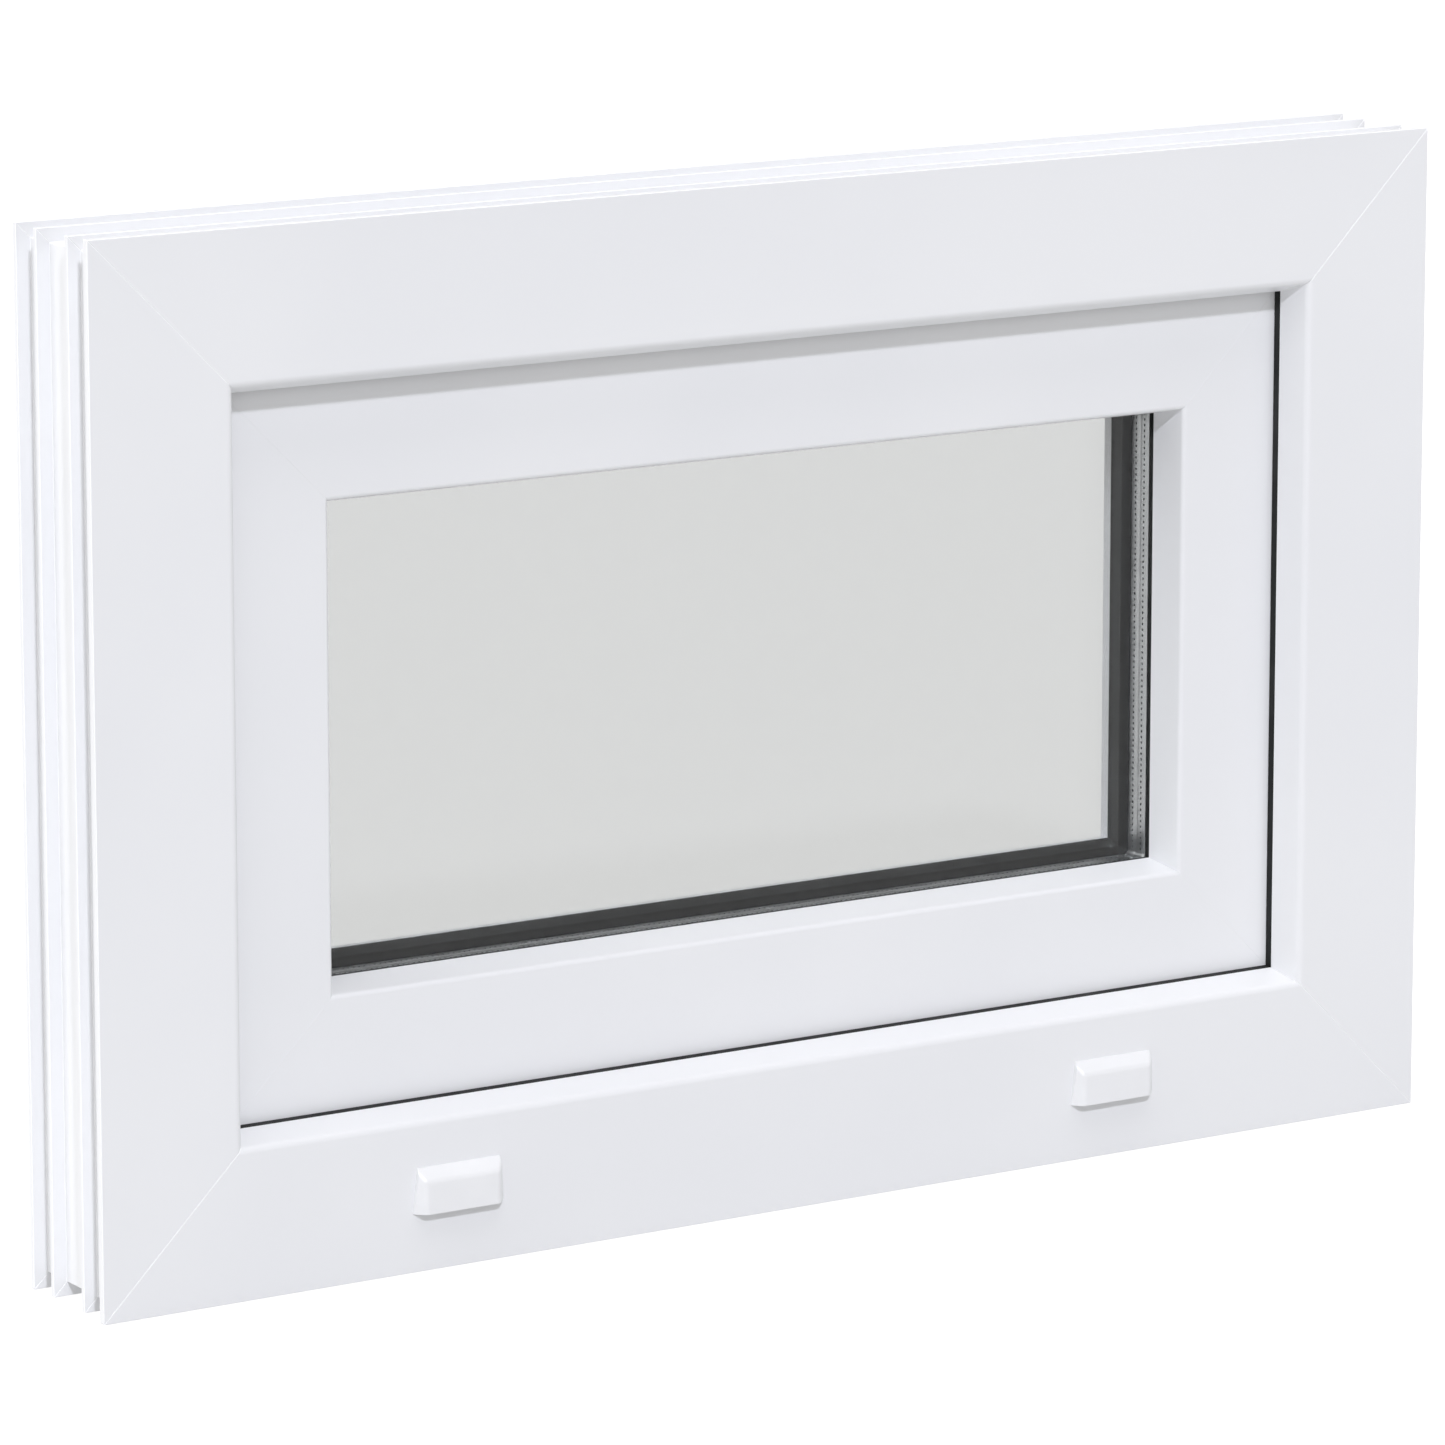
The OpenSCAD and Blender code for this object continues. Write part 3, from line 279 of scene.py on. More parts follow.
def material_for(node):
    if slot_of[node] != "white_pvc":
        return paint[slot_of[node]]
    return pvc_upright if node.endswith(UPRIGHT) else pvc_across


# ---------------------------------------------------------------- mesh helpers

WELD_DISTANCE = 0.001 * MM
CLOSE_DISTANCE = 0.002 * MM
FLAT_ANGLE = radians(0.5)
SHARP_ANGLE = radians(28)
HARD_LINE_ANGLE = radians(38)


def cad_mesh(node):
    """A copy of a CAD node's mesh, welded, with one polygon for each flat face."""
    bm = bmesh.new()
    bm.from_mesh(frame["nodes"][node].data)
    bmesh.ops.remove_doubles(bm, verts=bm.verts, dist=WELD_DISTANCE)
    bmesh.ops.dissolve_limit(bm, angle_limit=FLAT_ANGLE, verts=bm.verts, edges=bm.edges)
    return bm


def sharp_edges(bm):
    return [edge for edge in bm.edges if edge.is_manifold and edge.calc_face_angle(0) > SHARP_ANGLE]


def soften(bm, width, segments, where=None, slot=-1):
    """Rounds the sharp edges that pass the test. slot is the new faces' material, -1 for the old one."""
    edges = [edge for edge in sharp_edges(bm) if where is None or where(edge)]
    bmesh.ops.bevel(bm, geom=edges, offset=width, offset_type="OFFSET", segments=segments,
                    profile=0.5, affect="EDGES", clamp_overlap=False, material=slot)
    bmesh.ops.remove_doubles(bm, verts=bm.verts, dist=WELD_DISTANCE)


def smooth(bm):
    """Smooth shading where faces meet softly, and a hard line where they meet at a larger angle."""
    for face in bm.faces:
        face.smooth = True
    for edge in bm.edges:
        edge.smooth = not edge.is_manifold or edge.calc_face_angle(0) < HARD_LINE_ANGLE


def as_object(name, bm, *materials):
    """A new object from a mesh, with smooth shading and its materials in order."""
    smooth(bm)
    mesh = bpy.data.meshes.new(name)
    bm.to_mesh(mesh)
    bm.free()
    for material in materials:
        mesh.materials.append(material)
    piece = bpy.data.objects.new(name, mesh)
    bpy.context.scene.collection.objects.link(piece)
    normals = piece.modifiers.new("Normals", "WEIGHTED_NORMAL")
    normals.keep_sharp = True
    return piece


def place(piece, *nodes):
    """Lets a piece stand for CAD nodes and ride on their body."""
    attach(piece, body_of[nodes[0]])
    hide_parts(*nodes)
    return piece


def dress(node, width):
    """Keeps a CAD node, with its own material and softly rounded edges."""
    piece = frame["nodes"][node]
    for entry in piece.material_slots:
        entry.material = material_for(node)
    piece.modifiers.new("Weld", "WELD").merge_threshold = WELD_DISTANCE
    flat = piece.modifiers.new("Flat", "DECIMATE")
    flat.decimate_type = "DISSOLVE"
    flat.angle_limit = FLAT_ANGLE
    edges = piece.modifiers.new("Edges", "BEVEL")
    edges.width = width
    edges.segments = 2
    edges.limit_method = "ANGLE"
    edges.angle_limit = SHARP_ANGLE
    edges.use_clamp_overlap = True
    piece.modifiers.new("Close", "WELD").merge_threshold = CLOSE_DISTANCE
    piece.modifiers.new("Normals", "WEIGHTED_NORMAL").keep_sharp = True


# ---------------------------------------------------------------- profiles

LONG_EDGE = 60 * MM
MITRE_TOLERANCE = 0.01 * MM
PROFILE_EDGE = 0.4 * MM
BEAD_EDGE = 0.3 * MM
FRAME_WELD = 0.2 * MM
SASH_WELD = 0.08 * MM
BEAD_WELD = 0.1 * MM


def on_mitre(vert):
    """True where a vertex lies in one of the 45 degree planes through the frame's corners."""
    from_side = HALF_W - abs(vert.co.x)
    from_end = min(vert.co.z, TOP - vert.co.z)
    return abs(from_side - from_end) < MITRE_TOLERANCE


def is_mitre_edge(edge):
    return on_mitre(edge.verts[0]) and on_mitre(edge.verts[1])


def is_long_edge(edge):
    """True for an extruded edge, and not for the short edges of slots and holes."""
    return edge.calc_length() > LONG_EDGE and not is_mitre_edge(edge)


def finish_profile(node, edge_width, weld_width, weld_groove_material=None):
    """A length of profile with rounded edges and a fine groove along each corner weld.

    The groove takes the weld material given, or the profile's if there is none. On the frame it is a
    whiter white, a painted highlight along each weld line.
    """
    bm = cad_mesh(node)
    soften(bm, edge_width, 3, is_long_edge)
    soften(bm, weld_width, 1, is_mitre_edge, slot=1)
    finish = material_for(node)
    return place(as_object(f"{node}_profile", bm, finish, weld_groove_material or finish), node)


for side in ("frame_sill", "frame_head", "frame_jamb_left", "frame_jamb_right"):
    finish_profile(side, PROFILE_EDGE, FRAME_WELD, painted_weld_highlight)
for side in ("sash_bottom_rail", "sash_top_rail", "sash_stile_left", "sash_stile_right"):
    finish_profile(side, PROFILE_EDGE, SASH_WELD)
for side in ("bottom", "top", "left", "right"):
    finish_profile(f"glazing_bead_{side}", BEAD_EDGE, BEAD_WELD)


# ---------------------------------------------------------------- moulded covers

AT_FACE = 0.05 * MM
CAP_RIDGE = 1.4 * MM
CAP_EDGE = 0.15 * MM
ROSE_RIM = 1.8 * MM
ROSE_EDGE = 0.2 * MM
NECK_CLEARANCE = 12 * MM


def round_cover(node, front_test, front_width, other_width):
    """A moulded cover with generous roundings on its outer edges and small ones elsewhere."""
    bm = cad_mesh(node)
    soften(bm, front_width, 4, front_test)
    soften(bm, other_width, 2)
    return place(as_object(f"{node}_moulding", bm, material_for(node)), node)


def is_cap_ridge(edge):
    """True for an edge that meets a drainage cap's outdoor face, but not for its lower edge."""
    low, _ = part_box("drain_cap_left")
    at_front = [vert.co.y < low.y + AT_FACE for vert in edge.verts]
    at_bottom = [vert.co.z < low.z + AT_FACE for vert in edge.verts]
    return any(at_front) and not all(at_bottom)


for side in ("left", "right"):
    round_cover(f"drain_cap_{side}", is_cap_ridge, CAP_RIDGE, CAP_EDGE)


def is_rose_rim(edge):
    """True for the outer edges of the handle cover's front, and not for its hole for the neck."""
    low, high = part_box("handle_rose_cover")
    middle = (low + high) / 2
    return all(vert.co.y > high.y - AT_FACE and (vert.co - middle).xz.length > NECK_CLEARANCE
               for vert in edge.verts)


round_cover("handle_rose_cover", is_rose_rim, ROSE_RIM, ROSE_EDGE)


# ---------------------------------------------------------------- spacer between the panes

SPACER_H = 6.5 * MM
SPACER_WALL = 0.6 * MM
HOLE_PITCH = 2.3 * MM
HOLE_R = 0.55 * MM
HOLE_DEPTH = 0.5 * MM
HOLE_SIDES = 8
ROW_FROM_MIDDLE = 2.8 * MM
ROW_HALF = 0.9 * MM
HOLE_STRIPS = (1, 6)
BEND_R = 2.2 * MM
BEND_STEPS = 6
SIGHT_ROUND = 0.7 * MM
ROUND_MIDDLE = 0.2 * MM
SEAM_HALF = 0.8 * MM
SEAM_DEPTH = 0.25 * MM
FLANK_H = 2.4 * MM
BACK_IN = 3.2 * MM
BACK_ROUND_IN = 2.6 * MM
BACK_ROUND_H = 0.3 * MM
HOLLOW_FLANK_H = 2.6 * MM
HOLLOW_BACK_IN = 3.3 * MM


def spacer_section(width):
    """Points (height above the back, distance across) round the bar, starting on its sight face.

    The first points run across the sight face, so that HOLE_STRIPS are the strips with the rows of
    holes, where strip n lies between points n and n + 1.
    """
    middle = width / 2
    rows = [middle - ROW_FROM_MIDDLE, middle + ROW_FROM_MIDDLE]
    top = SPACER_H
    sight = [(top, SIGHT_ROUND), (top, rows[0] - ROW_HALF), (top, rows[0] + ROW_HALF),
             (top, middle - SEAM_HALF), (top - SEAM_DEPTH, middle), (top, middle + SEAM_HALF),
             (top, rows[1] - ROW_HALF), (top, rows[1] + ROW_HALF), (top, width - SIGHT_ROUND)]
    round_far = [(top - ROUND_MIDDLE, width - ROUND_MIDDLE), (top - SIGHT_ROUND, width)]
    back = [(FLANK_H, width), (BACK_ROUND_H, width - BACK_ROUND_IN), (0, width - BACK_IN),
            (0, BACK_IN), (BACK_ROUND_H, BACK_ROUND_IN), (FLANK_H, 0)]
    round_near = [(top - SIGHT_ROUND, 0), (top - ROUND_MIDDLE, ROUND_MIDDLE)]
    return sight + round_far + back + round_near


def spacer_stations(low, high):
    """Places round the bar: (point on the line of the bend centres, outward direction, has holes)."""
    inner_low = Vector((low.x + SPACER_H, low.z + SPACER_H))
    inner_high = Vector((high.x - SPACER_H, high.z - SPACER_H))
    centres = [Vector((inner_high.x - BEND_R, inner_low.y + BEND_R)),
               Vector((inner_high.x - BEND_R, inner_high.y - BEND_R)),
               Vector((inner_low.x + BEND_R, inner_high.y - BEND_R)),
               Vector((inner_low.x + BEND_R, inner_low.y + BEND_R))]
    stations = []
    for number, centre in enumerate(centres):
        start = -pi / 2 + number * pi / 2
        for step in range(BEND_STEPS):
            angle = start + (pi / 2) * step / BEND_STEPS
            stations.append((centre, Vector((cos(angle), sin(angle))), False))
        outward = Vector((cos(start + pi / 2), sin(start + pi / 2)))
        run = centres[(number + 1) % 4] - centre
        cells = round(run.length / HOLE_PITCH)
        for cell in range(cells):
            stations.append((centre + run * cell / cells, outward, True))
    return stations


def punch(bm, quad, inward, material_index):
    """Fills a quad with faces round a blind hole, whose floor gets the given material."""
    middle = sum((vert.co for vert in quad), Vector()) / 4
    along = (quad[1].co - quad[0].co).normalized()
    across = (quad[3].co - quad[0].co).normalized()
    rims = []
    for depth in (0, HOLE_DEPTH):
        ring = []
        for i in range(HOLE_SIDES):
            angle = 2 * pi * (i + 0.5) / HOLE_SIDES - 3 * pi / 4 - pi / HOLE_SIDES
            offset = along * cos(angle) * HOLE_R + across * sin(angle) * HOLE_R
            ring.append(bm.verts.new(middle + offset + inward * depth))
        rims.append(ring)
    top, floor = rims
    for corner in range(4):
        nxt = (corner + 1) % 4
        first, second = top[2 * corner], top[(2 * corner + 1) % HOLE_SIDES]
        third = top[(2 * corner + 2) % HOLE_SIDES]
        bm.faces.new((quad[corner], first, second)[::-1])
        bm.faces.new((quad[corner], quad[nxt], third, second))
    for i in range(HOLE_SIDES):
        j = (i + 1) % HOLE_SIDES
        bm.faces.new((top[i], top[j], floor[j], floor[i]))
    bm.faces.new(floor).material_index = material_index


def spacer_hollow(width):
    """Section of the hollow inside the bar, where the desiccant lies."""
    near, far = SPACER_WALL, width - SPACER_WALL
    top = SPACER_H - SPACER_WALL
    return [(top, near), (top, far), (HOLLOW_FLANK_H, far), (SPACER_WALL, width - HOLLOW_BACK_IN),
            (SPACER_WALL, HOLLOW_BACK_IN), (HOLLOW_FLANK_H, near)]


def sweep_bar(section, stations, y, hole_strips=()):
    """A closed bar of one section round the stations, with holes along the named strips."""
    bm = bmesh.new()
    rings = []
    for centre, outward, _ in stations:
        ring = []
        for height, across in section:
            point = centre + outward * (BEND_R + SPACER_H - height)
            ring.append(bm.verts.new((point.x, y + across, point.y)))
        rings.append(ring)
    count = len(section)
    for k, (_, outward, holed) in enumerate(stations):
        here, there = rings[k], rings[(k + 1) % len(rings)]
        for j in range(count):
            quad = (here[j], there[j], there[(j + 1) % count], here[(j + 1) % count])
            if holed and j in hole_strips:
                # The hole's floor takes the second material, black rubber, as painted shade for the dark
                # inside of the hole.
                punch(bm, quad, Vector((outward.x, 0, outward.y)), 1)
            else:
                bm.faces.new(quad)
    bmesh.ops.recalc_face_normals(bm, faces=bm.faces)
    return bm


def build_spacer():
    """The hollow bar between the panes, bent round its corners, with two rows of small holes whose
    floors are black: painted shade for the dark inside of each hole.
    """
    low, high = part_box("spacer_bar")
    width = high.y - low.y
    stations = spacer_stations(low, high)
    bm = sweep_bar(spacer_section(width), stations, low.y, HOLE_STRIPS)
    hollow = sweep_bar(spacer_hollow(width), stations, low.y)
    bmesh.ops.reverse_faces(hollow, faces=hollow.faces)
    inside = bpy.data.meshes.new("hollow")
    hollow.to_mesh(inside)
    hollow.free()
    bm.from_mesh(inside)
    bpy.data.meshes.remove(inside)
    # The second material is black rubber for the holes' floors: painted shade, not a part of the bar.
    metal_and_hole_shade = (paint["spacer_metal"], paint["black_gasket"])
    return place(as_object("perforated_spacer", bm, *metal_and_hole_shade), "spacer_bar")


build_spacer()


# ---------------------------------------------------------------- screws

THREAD_PITCH = 1.5 * MM
THREAD_STEPS = 6
THREAD_DEPTH = 0.35 * MM
SCREW_SIDES = 24
HEAD_RIM = 0.12 * MM
TIP_R = 0.25 * MM
CHEESE_EDGE = 0.4 * MM
HAIR = 0.05 * MM
RECESS_NARROW = 0.45
RECESS_BLADE = 0.24
RECESS_DEPTH = 0.55
SCREW_SPIN = 0.7


def lathe(bm, rows):
    """A closed surface through rings of (radius or radius function, height) about Z."""
    rings = []
    for radius, height in rows:
        ring = []
        for i in range(SCREW_SIDES):
            angle = 2 * pi * i / SCREW_SIDES
            r = radius(angle) if callable(radius) else radius
            ring.append(bm.verts.new((r * cos(angle), r * sin(angle), height)))
        rings.append(ring)
    for low, high in zip(rings, rings[1:]):
        for i in range(SCREW_SIDES):
            j = (i + 1) % SCREW_SIDES
            bm.faces.new((low[i], low[j], high[j], high[i]))
    bm.faces.new(rings[0][::-1])
    bm.faces.new(rings[-1])
    bmesh.ops.recalc_face_normals(bm, faces=bm.faces)


def thread_rows(r, start, end):
    """Rings of a helical thread of outer radius r, from start down to end."""
    rows = []
    steps = int((start - end) / THREAD_PITCH * THREAD_STEPS)
    for step in range(steps + 1):
        height = start + (end - start) * step / steps
        fade = min(1, 4 * (1 - step / steps), 4 * step / steps)

        def radius(angle, height=height, fade=fade):
            phase = (height / THREAD_PITCH - angle / (2 * pi)) % 1
            return r - THREAD_DEPTH * (1 - fade * (1 - abs(2 * phase - 1)))
        rows.append((radius, height))
    return rows


def cross_recess(name, size):
    """A cross-shaped cutter that narrows downwards, with its mouth at z = 0."""
    bm = bmesh.new()
    for turn in (0, pi / 2):
        made = bmesh.ops.create_cube(bm, size=1)
        for vert in made["verts"]:
            deep = vert.co.z < 0
            narrow = RECESS_NARROW if deep else 1
            vert.co.x *= size * narrow
            vert.co.y *= size * RECESS_BLADE * narrow
            vert.co.z = -RECESS_DEPTH * size if deep else 0.3 * MM
        bmesh.ops.rotate(bm, verts=made["verts"], matrix=Matrix.Rotation(turn, 3, "Z"))
    return cutter_object(name, bm)


def cutter_object(name, bm):
    """A passing object for a Boolean."""
    mesh = bpy.data.meshes.new(name)
    bm.to_mesh(mesh)
    bm.free()
    cutter = bpy.data.objects.new(name, mesh)
    bpy.context.scene.collection.objects.link(cutter)
    return cutter


def combined(bm, cutter, operation):
    """The mesh after a Boolean with another object, which is then removed."""
    body = cutter_object("boolean_body", bm)
    boolean = body.modifiers.new("Boolean", "BOOLEAN")
    boolean.operation = operation
    boolean.object = cutter
    boolean.solver = "EXACT"
    boolean.use_self = True
    bpy.context.view_layer.update()
    shaped = body.evaluated_get(bpy.context.evaluated_depsgraph_get())
    result = bmesh.new()
    result.from_mesh(shaped.to_mesh())
    shaped.to_mesh_clear()
    for used in (body, cutter):
        bpy.data.objects.remove(used)
    return result


def countersunk(r, head_r, length):
    """A countersunk screw that points down, with its flat head at z = 0."""
    head_t = head_r - r
    core = r - THREAD_DEPTH
    rows = [(head_r - HEAD_RIM, 0), (head_r, -HEAD_RIM), (core, -head_t - HAIR)]
    rows += thread_rows(r, -head_t - 0.5 * MM, -length + r * 1.2)
    rows.append((TIP_R, -length))
    bm = bmesh.new()
    lathe(bm, rows)
    return combined(bm, cross_recess("cutter", 1.25 * head_r), "DIFFERENCE")


def cheese_head(r, head_r, head_t, length):
    """A machine screw that points down, with the underside of its head at z = 0."""
    core = r - THREAD_DEPTH
    rows = [(head_r - CHEESE_EDGE, head_t), (head_r, head_t - CHEESE_EDGE), (head_r, HAIR),
            (head_r - HAIR, 0), (core, -0.01 * MM)]
    rows += thread_rows(r, -0.6 * MM, -length + 0.6 * MM)
    rows.append((core - 0.3 * MM, -length))
    bm = bmesh.new()
    lathe(bm, rows)
    cutter = cross_recess("cutter", 1.1 * head_r)
    cutter.location.z = head_t
    return combined(bm, cutter, "DIFFERENCE")


def islands(node):
    """The box of each separate solid in a node, as (low, high) pairs."""
    bm = cad_mesh(node)
    todo = set(bm.verts)
    boxes = []
    while todo:
        group, waiting = set(), [todo.pop()]
        while waiting:
            vert = waiting.pop()
            group.add(vert)
            for edge in vert.link_edges:
                other = edge.other_vert(vert)
                if other in todo:
                    todo.remove(other)
                    waiting.append(other)
        boxes.append(tuple(Vector(pick(vert.co[axis] for vert in group) for axis in range(3))
                           for pick in (min, max)))
    bm.free()
    return sorted(boxes, key=lambda box: tuple(round(value, 6) for value in box[0]))


def build_screws(node, make, points, inset=0.0):
    """Puts one screw in each solid of a node.

    points is the direction that the heads face, and inset is how far each screw's own zero lies
    behind the solid's outermost end.
    """
    facing = Vector(points)
    axis = max(range(3), key=lambda i: abs(facing[i]))
    turn = Vector((0, 0, 1)).rotation_difference(facing).to_matrix().to_4x4()
    pattern = make()
    all_screws = bmesh.new()
    for number, (low, high) in enumerate(islands(node)):
        top = (low + high) / 2
        top[axis] = (high if facing[axis] > 0 else low)[axis] - facing[axis] * inset
        screw = pattern.copy()
        spin = Matrix.Rotation(SCREW_SPIN * number, 4, "Z")
        bmesh.ops.transform(screw, matrix=Matrix.Translation(top) @ turn @ spin, verts=screw.verts)
        mesh = bpy.data.meshes.new("screw")
        screw.to_mesh(mesh)
        screw.free()
        all_screws.from_mesh(mesh)
        bpy.data.meshes.remove(mesh)
    pattern.free()
    return place(as_object(f"{node}_threaded", all_screws, paint["screw_steel"]), node)


SCREW_R = 2 * MM
SCREW_HEAD_R = 3.8 * MM
LOCK_SCREW_L = 12 * MM
HINGE_SCREW_L = 14 * MM
HANDLE_SCREW_R = 2.4 * MM
HANDLE_HEAD_R = 4.4 * MM
HANDLE_HEAD_T = 2.6 * MM


def lock_screw():
    return countersunk(SCREW_R, SCREW_HEAD_R, LOCK_SCREW_L)


def hinge_screw():
    return countersunk(SCREW_R, SCREW_HEAD_R, HINGE_SCREW_L)


def handle_screw():
    low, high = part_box("handle_screws")
    return cheese_head(HANDLE_SCREW_R, HANDLE_HEAD_R, HANDLE_HEAD_T, high.y - low.y - HANDLE_HEAD_T)


build_screws("keeper_screws", lock_screw, (1, 0, 0))
build_screws("hinge_bracket_screws", hinge_screw, (0, 1, 0))
build_screws("hinge_leaf_screws", hinge_screw, (1, 0, 0))
build_screws("faceplate_screws", lock_screw, (-1, 0, 0))
build_screws("handle_screws", handle_screw, (0, 1, 0), inset=HANDLE_HEAD_T)


# ---------------------------------------------------------------- handle lever

LEVER_T = 11 * MM
LEVER_HEAD_R = 11 * MM
LEVER_END_R = 8 * MM
NECK_R = 9 * MM
SQUARE_HALF = 3.54 * MM
LEVER_STATIONS = 40
LEVER_SIDES = 32
LEVER_SQUARENESS = 0.62
LEVER_END_SWELL = 0.45
LEVER_WAIST = 0.16
NECK_CHAMFER = 0.5 * MM
FLARE_OUT = 1.4 * MM
FLARE_LENGTH = 5 * MM
FLARE_STEPS = 6
NECK_IN_GRIP = 2.5 * MM


def lever_half_height(x, reach):
    """Half the lever's height at a distance x from its axis: round head, straight taper, round end."""
    if x < 0:
        return sqrt(max(0, LEVER_HEAD_R ** 2 - x ** 2))
    taper = LEVER_HEAD_R + (LEVER_END_R - LEVER_HEAD_R) * min(1, x / reach)
    past = max(0, x - reach)
    return taper if past == 0 else sqrt(max(0, LEVER_END_R ** 2 - past ** 2))


def lever_bar(axis, back, front, length):
    """The grip: rounded sections that thin towards the middle and swell again at the end."""
    bm = bmesh.new()
    reach = length - LEVER_END_R
    rings = []
    for station in range(1, LEVER_STATIONS):
        share = 0.5 - 0.5 * cos(pi * station / LEVER_STATIONS)
        x = -LEVER_HEAD_R + (length + LEVER_HEAD_R) * share
        half = lever_half_height(x, reach)
        roundness = min(1, half / LEVER_END_R) ** LEVER_END_SWELL
        waist = LEVER_WAIST * sin(pi * min(1, max(0, x / length))) ** 2
        thick = (front - back) * roundness * (1 - waist)
        middle = (front + back) / 2 - 0.3 * (front - back) * waist
        ring = []
        for i in range(LEVER_SIDES):
            angle = 2 * pi * i / LEVER_SIDES
            c, s = cos(angle), sin(angle)
            y = middle + thick / 2 * abs(s) ** LEVER_SQUARENESS * (1 if s > 0 else -1)
            z = axis.z + half * abs(c) ** LEVER_SQUARENESS * (1 if c > 0 else -1)
            ring.append(bm.verts.new((axis.x + x, y, z)))
        rings.append(ring)
    for here, there in zip(rings, rings[1:]):
        for i in range(LEVER_SIDES):
            j = (i + 1) % LEVER_SIDES
            bm.faces.new((here[i], here[j], there[j], there[i]))
    bm.faces.new(rings[0])
    bm.faces.new(rings[-1][::-1])
    bmesh.ops.recalc_face_normals(bm, faces=bm.faces)
    return bm


def lever_neck(axis, start, back):
    """The neck, which flares into the grip."""
    bm = bmesh.new()
    flare_start = back - FLARE_LENGTH
    rows = [(NECK_R - NECK_CHAMFER, start), (NECK_R, start + NECK_CHAMFER), (NECK_R, flare_start)]
    for step in range(1, FLARE_STEPS + 1):
        angle = radians(90) * step / FLARE_STEPS
        rows.append((NECK_R + FLARE_OUT * (1 - cos(angle)), flare_start + FLARE_LENGTH * sin(angle)))
    rows.append((NECK_R + FLARE_OUT, back + NECK_IN_GRIP))
    lathe(bm, rows)
    turn = Matrix.Rotation(-pi / 2, 4, "X")
    bmesh.ops.transform(bm, matrix=Matrix.Translation((axis.x, 0, axis.z)) @ turn, verts=bm.verts)
    return bm


def build_lever():
    """The grip and neck in one, with a square hole for the spindle."""
    low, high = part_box("handle_lever")
    spindle_low, spindle_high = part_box("spindle")
    axis = (spindle_low + spindle_high) / 2
    back = high.y - LEVER_T
    neck = cutter_object("neck", lever_neck(axis, low.y, back))
    bm = combined(lever_bar(axis, back, high.y, high.x - axis.x), neck, "UNION")
    hole = bmesh.new()
    bmesh.ops.create_cube(hole, size=2)
    for vert in hole.verts:
        vert.co.x = axis.x + SQUARE_HALF * vert.co.x
        vert.co.z = axis.z + SQUARE_HALF * vert.co.z
        vert.co.y = low.y - 1 * MM if vert.co.y < 0 else spindle_high.y + 1 * MM
    bm = combined(bm, cutter_object("square_hole", hole), "DIFFERENCE")
    return place(as_object("sculpted_lever", bm, paint["white_handle"]), "handle_lever")


build_lever()


# ---------------------------------------------------------------- CAD nodes that stay

EDGE = {
    "white_caps": 0.5 * MM, "galvanised_steel": 0.3 * MM, "black_gasket": 0.25 * MM,
    "zinc_hardware": 0.25 * MM, "screw_steel": 0.3 * MM, "clear_glass": 0.4 * MM,
    "desiccant_beads": 0.3 * MM, "butyl_sealant": 0.4 * MM, "packer_plastic": 0.5 * MM,
}
for node, cad_object in frame["nodes"].items():
    if not cad_object.hide_render:
        dress(node, EDGE[slot_of[node]])


# ---------------------------------------------------------------- floor, light and camera

# The floor's glow as it lights the object, and as it is seen
FLOOR_GLOW = (0.42, 0.9)
FLOOR_RADIUS = 60
FLOOR_DROP = 0.2 * MM
AMBIENT = 0.37
AMBIENT_COLOUR = (1, 0.985, 0.965, 1)
BACKDROP = 1.05
WHITE = (1, 1, 1, 1)


def seen_directly(tree):
    """1 for the eye and for what is seen through glass, 0 for light that falls on surfaces."""
    path = tree.nodes.new("ShaderNodeLightPath")
    seen = tree.nodes.new("ShaderNodeMath")
    seen.operation = "MAXIMUM"
    tree.links.new(path.outputs["Is Camera Ray"], seen.inputs[0])
    tree.links.new(path.outputs["Is Transmission Ray"], seen.inputs[1])
    return seen.outputs[0]


def floor_material():
    """Pale, nearly even ground that keeps only a trace of a shadow."""
    finish = Finish("pale_floor", (0.25, 0.25, 0.25), 0.9)
    finish.shader.inputs["Emission Color"].default_value = WHITE
    glow = finish.ranged(seen_directly(finish.tree), (0, 1), FLOOR_GLOW)
    finish.tree.links.new(glow, finish.shader.inputs["Emission Strength"])
    return finish.material


def build_floor():
    bm = bmesh.new()
    bmesh.ops.create_circle(bm, cap_ends=True, segments=96, radius=FLOOR_RADIUS)
    mesh = bpy.data.meshes.new("floor")
    bm.to_mesh(mesh)
    bm.free()
    mesh.materials.append(floor_material())
    floor = bpy.data.objects.new("floor", mesh)
    floor.location.z = -FLOOR_DROP
    bpy.context.scene.collection.objects.link(floor)


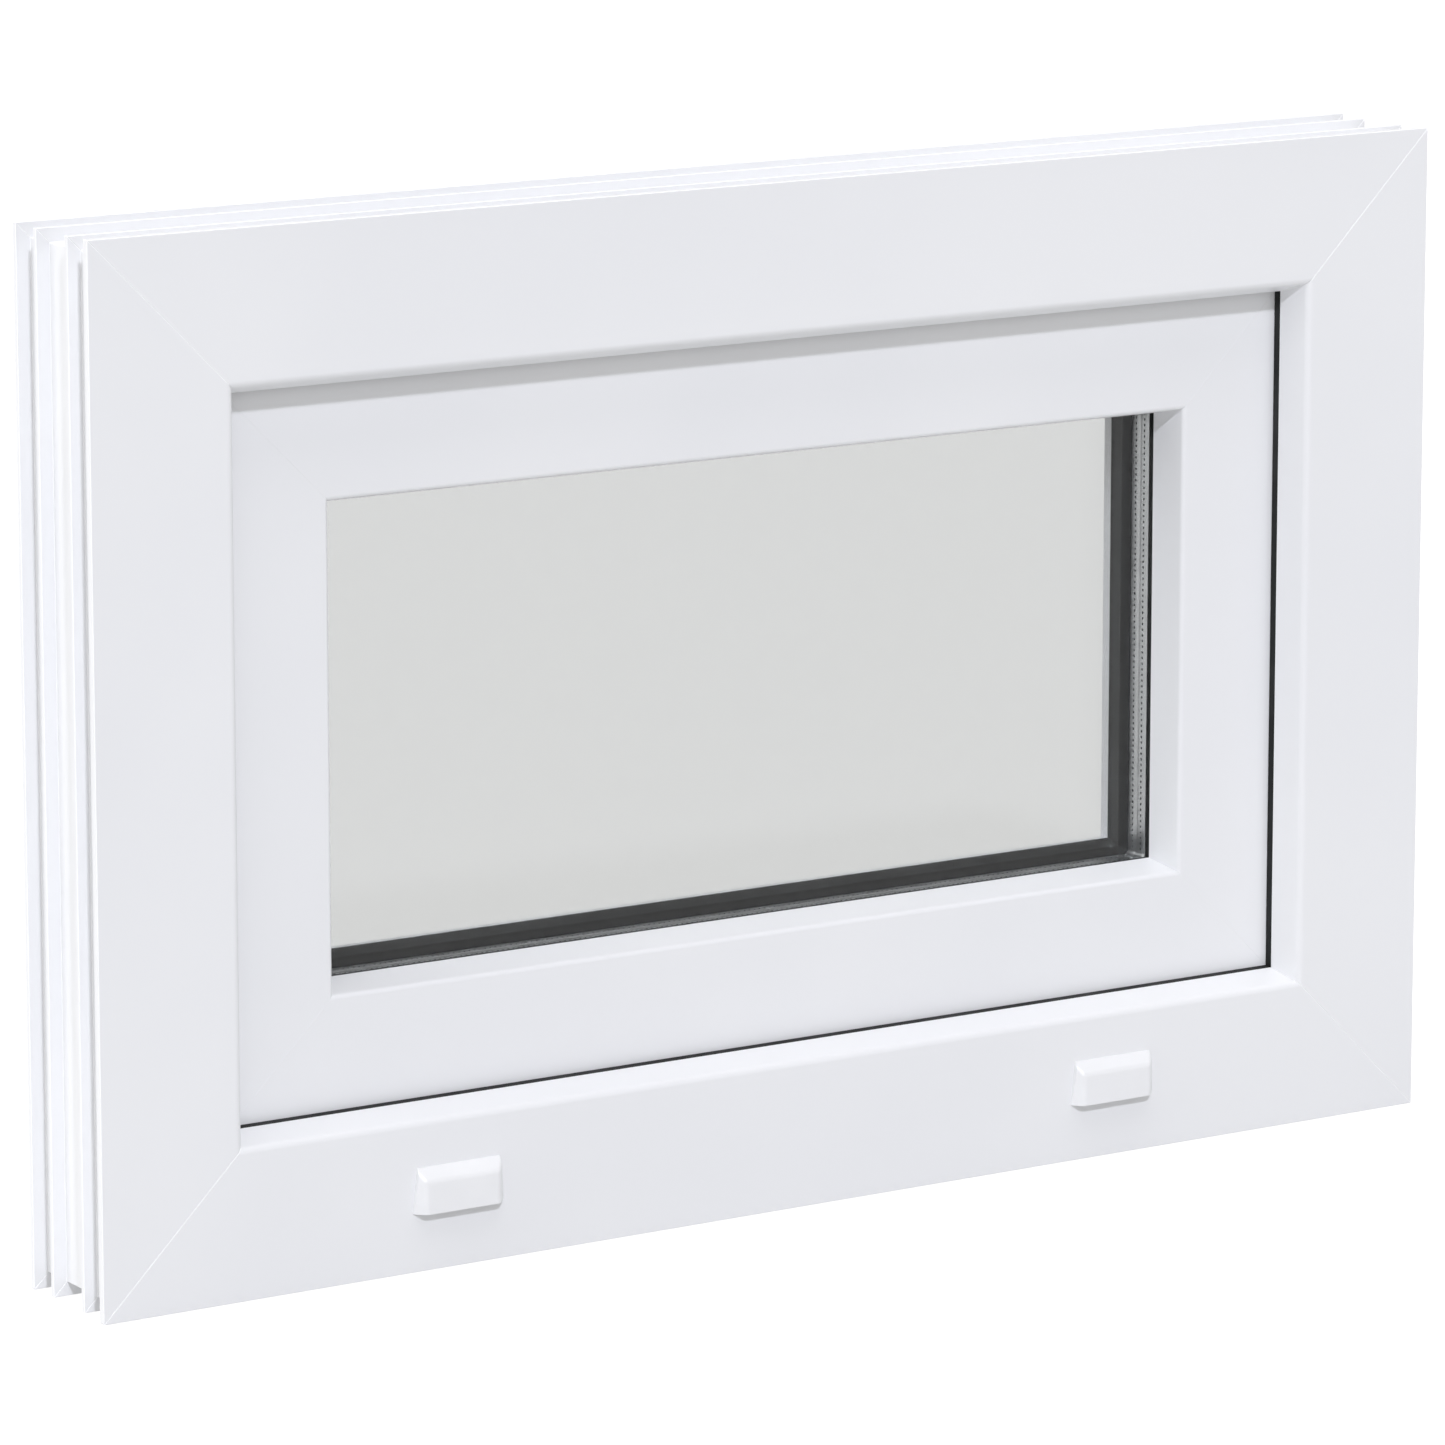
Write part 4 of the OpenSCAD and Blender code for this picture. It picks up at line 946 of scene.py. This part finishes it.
def sun(name, towards, strength, spread, colour):
    """A distant lamp. towards is the direction from the object to the light, spread is in degrees."""
    lamp = bpy.data.lights.new(name, "SUN")
    lamp.energy = strength
    lamp.angle = radians(spread)
    lamp.color = colour
    light = bpy.data.objects.new(name, lamp)
    light.rotation_euler = Vector(towards).to_track_quat("Z", "Y").to_euler()
    bpy.context.scene.collection.objects.link(light)


def build_world():
    """White surroundings for the eye and for what is seen through glass, dimmer as a light."""
    world = bpy.data.worlds.new("studio")
    bpy.context.scene.world = world
    world.use_nodes = True
    tree = world.node_tree
    dim = tree.nodes["Background"]
    dim.inputs["Color"].default_value = AMBIENT_COLOUR
    dim.inputs["Strength"].default_value = AMBIENT
    white = tree.nodes.new("ShaderNodeBackground")
    white.inputs["Color"].default_value = WHITE
    white.inputs["Strength"].default_value = BACKDROP
    mix = tree.nodes.new("ShaderNodeMixShader")
    tree.links.new(seen_directly(tree), mix.inputs[0])
    tree.links.new(dim.outputs[0], mix.inputs[1])
    tree.links.new(white.outputs[0], mix.inputs[2])
    tree.links.new(mix.outputs[0], tree.nodes["World Output"].inputs["Surface"])


CAMERA_PLACE = (-1.5122, -2.3335, 0.7687)
CAMERA_YAW = 32.38
CAMERA_PITCH = 10.61
CAMERA_LENS = 185.26
CAMERA_SHIFT = -0.1


def build_camera():
    data = bpy.data.cameras.new("camera")
    data.lens = CAMERA_LENS
    data.shift_y = CAMERA_SHIFT
    camera = bpy.data.objects.new("camera", data)
    camera.location = CAMERA_PLACE
    camera.rotation_euler = (radians(90 - CAMERA_PITCH), 0, radians(-CAMERA_YAW))
    bpy.context.scene.collection.objects.link(camera)
    bpy.context.scene.camera = camera


build_floor()
build_world()
build_camera()
sun("key", (-0.27, -0.76, 0.60), 1.40, 3.5, (0.905, 0.92, 1.0))
sun("overhead", (-0.1, 0.05, 1), 1.66, 70, (1.0, 0.99, 0.98))
sun("left_fill", (-1, 0.3, 0.45), 1.36, 60, (1.0, 1.0, 1.0))
bpy.context.scene.view_settings.view_transform = "Standard"
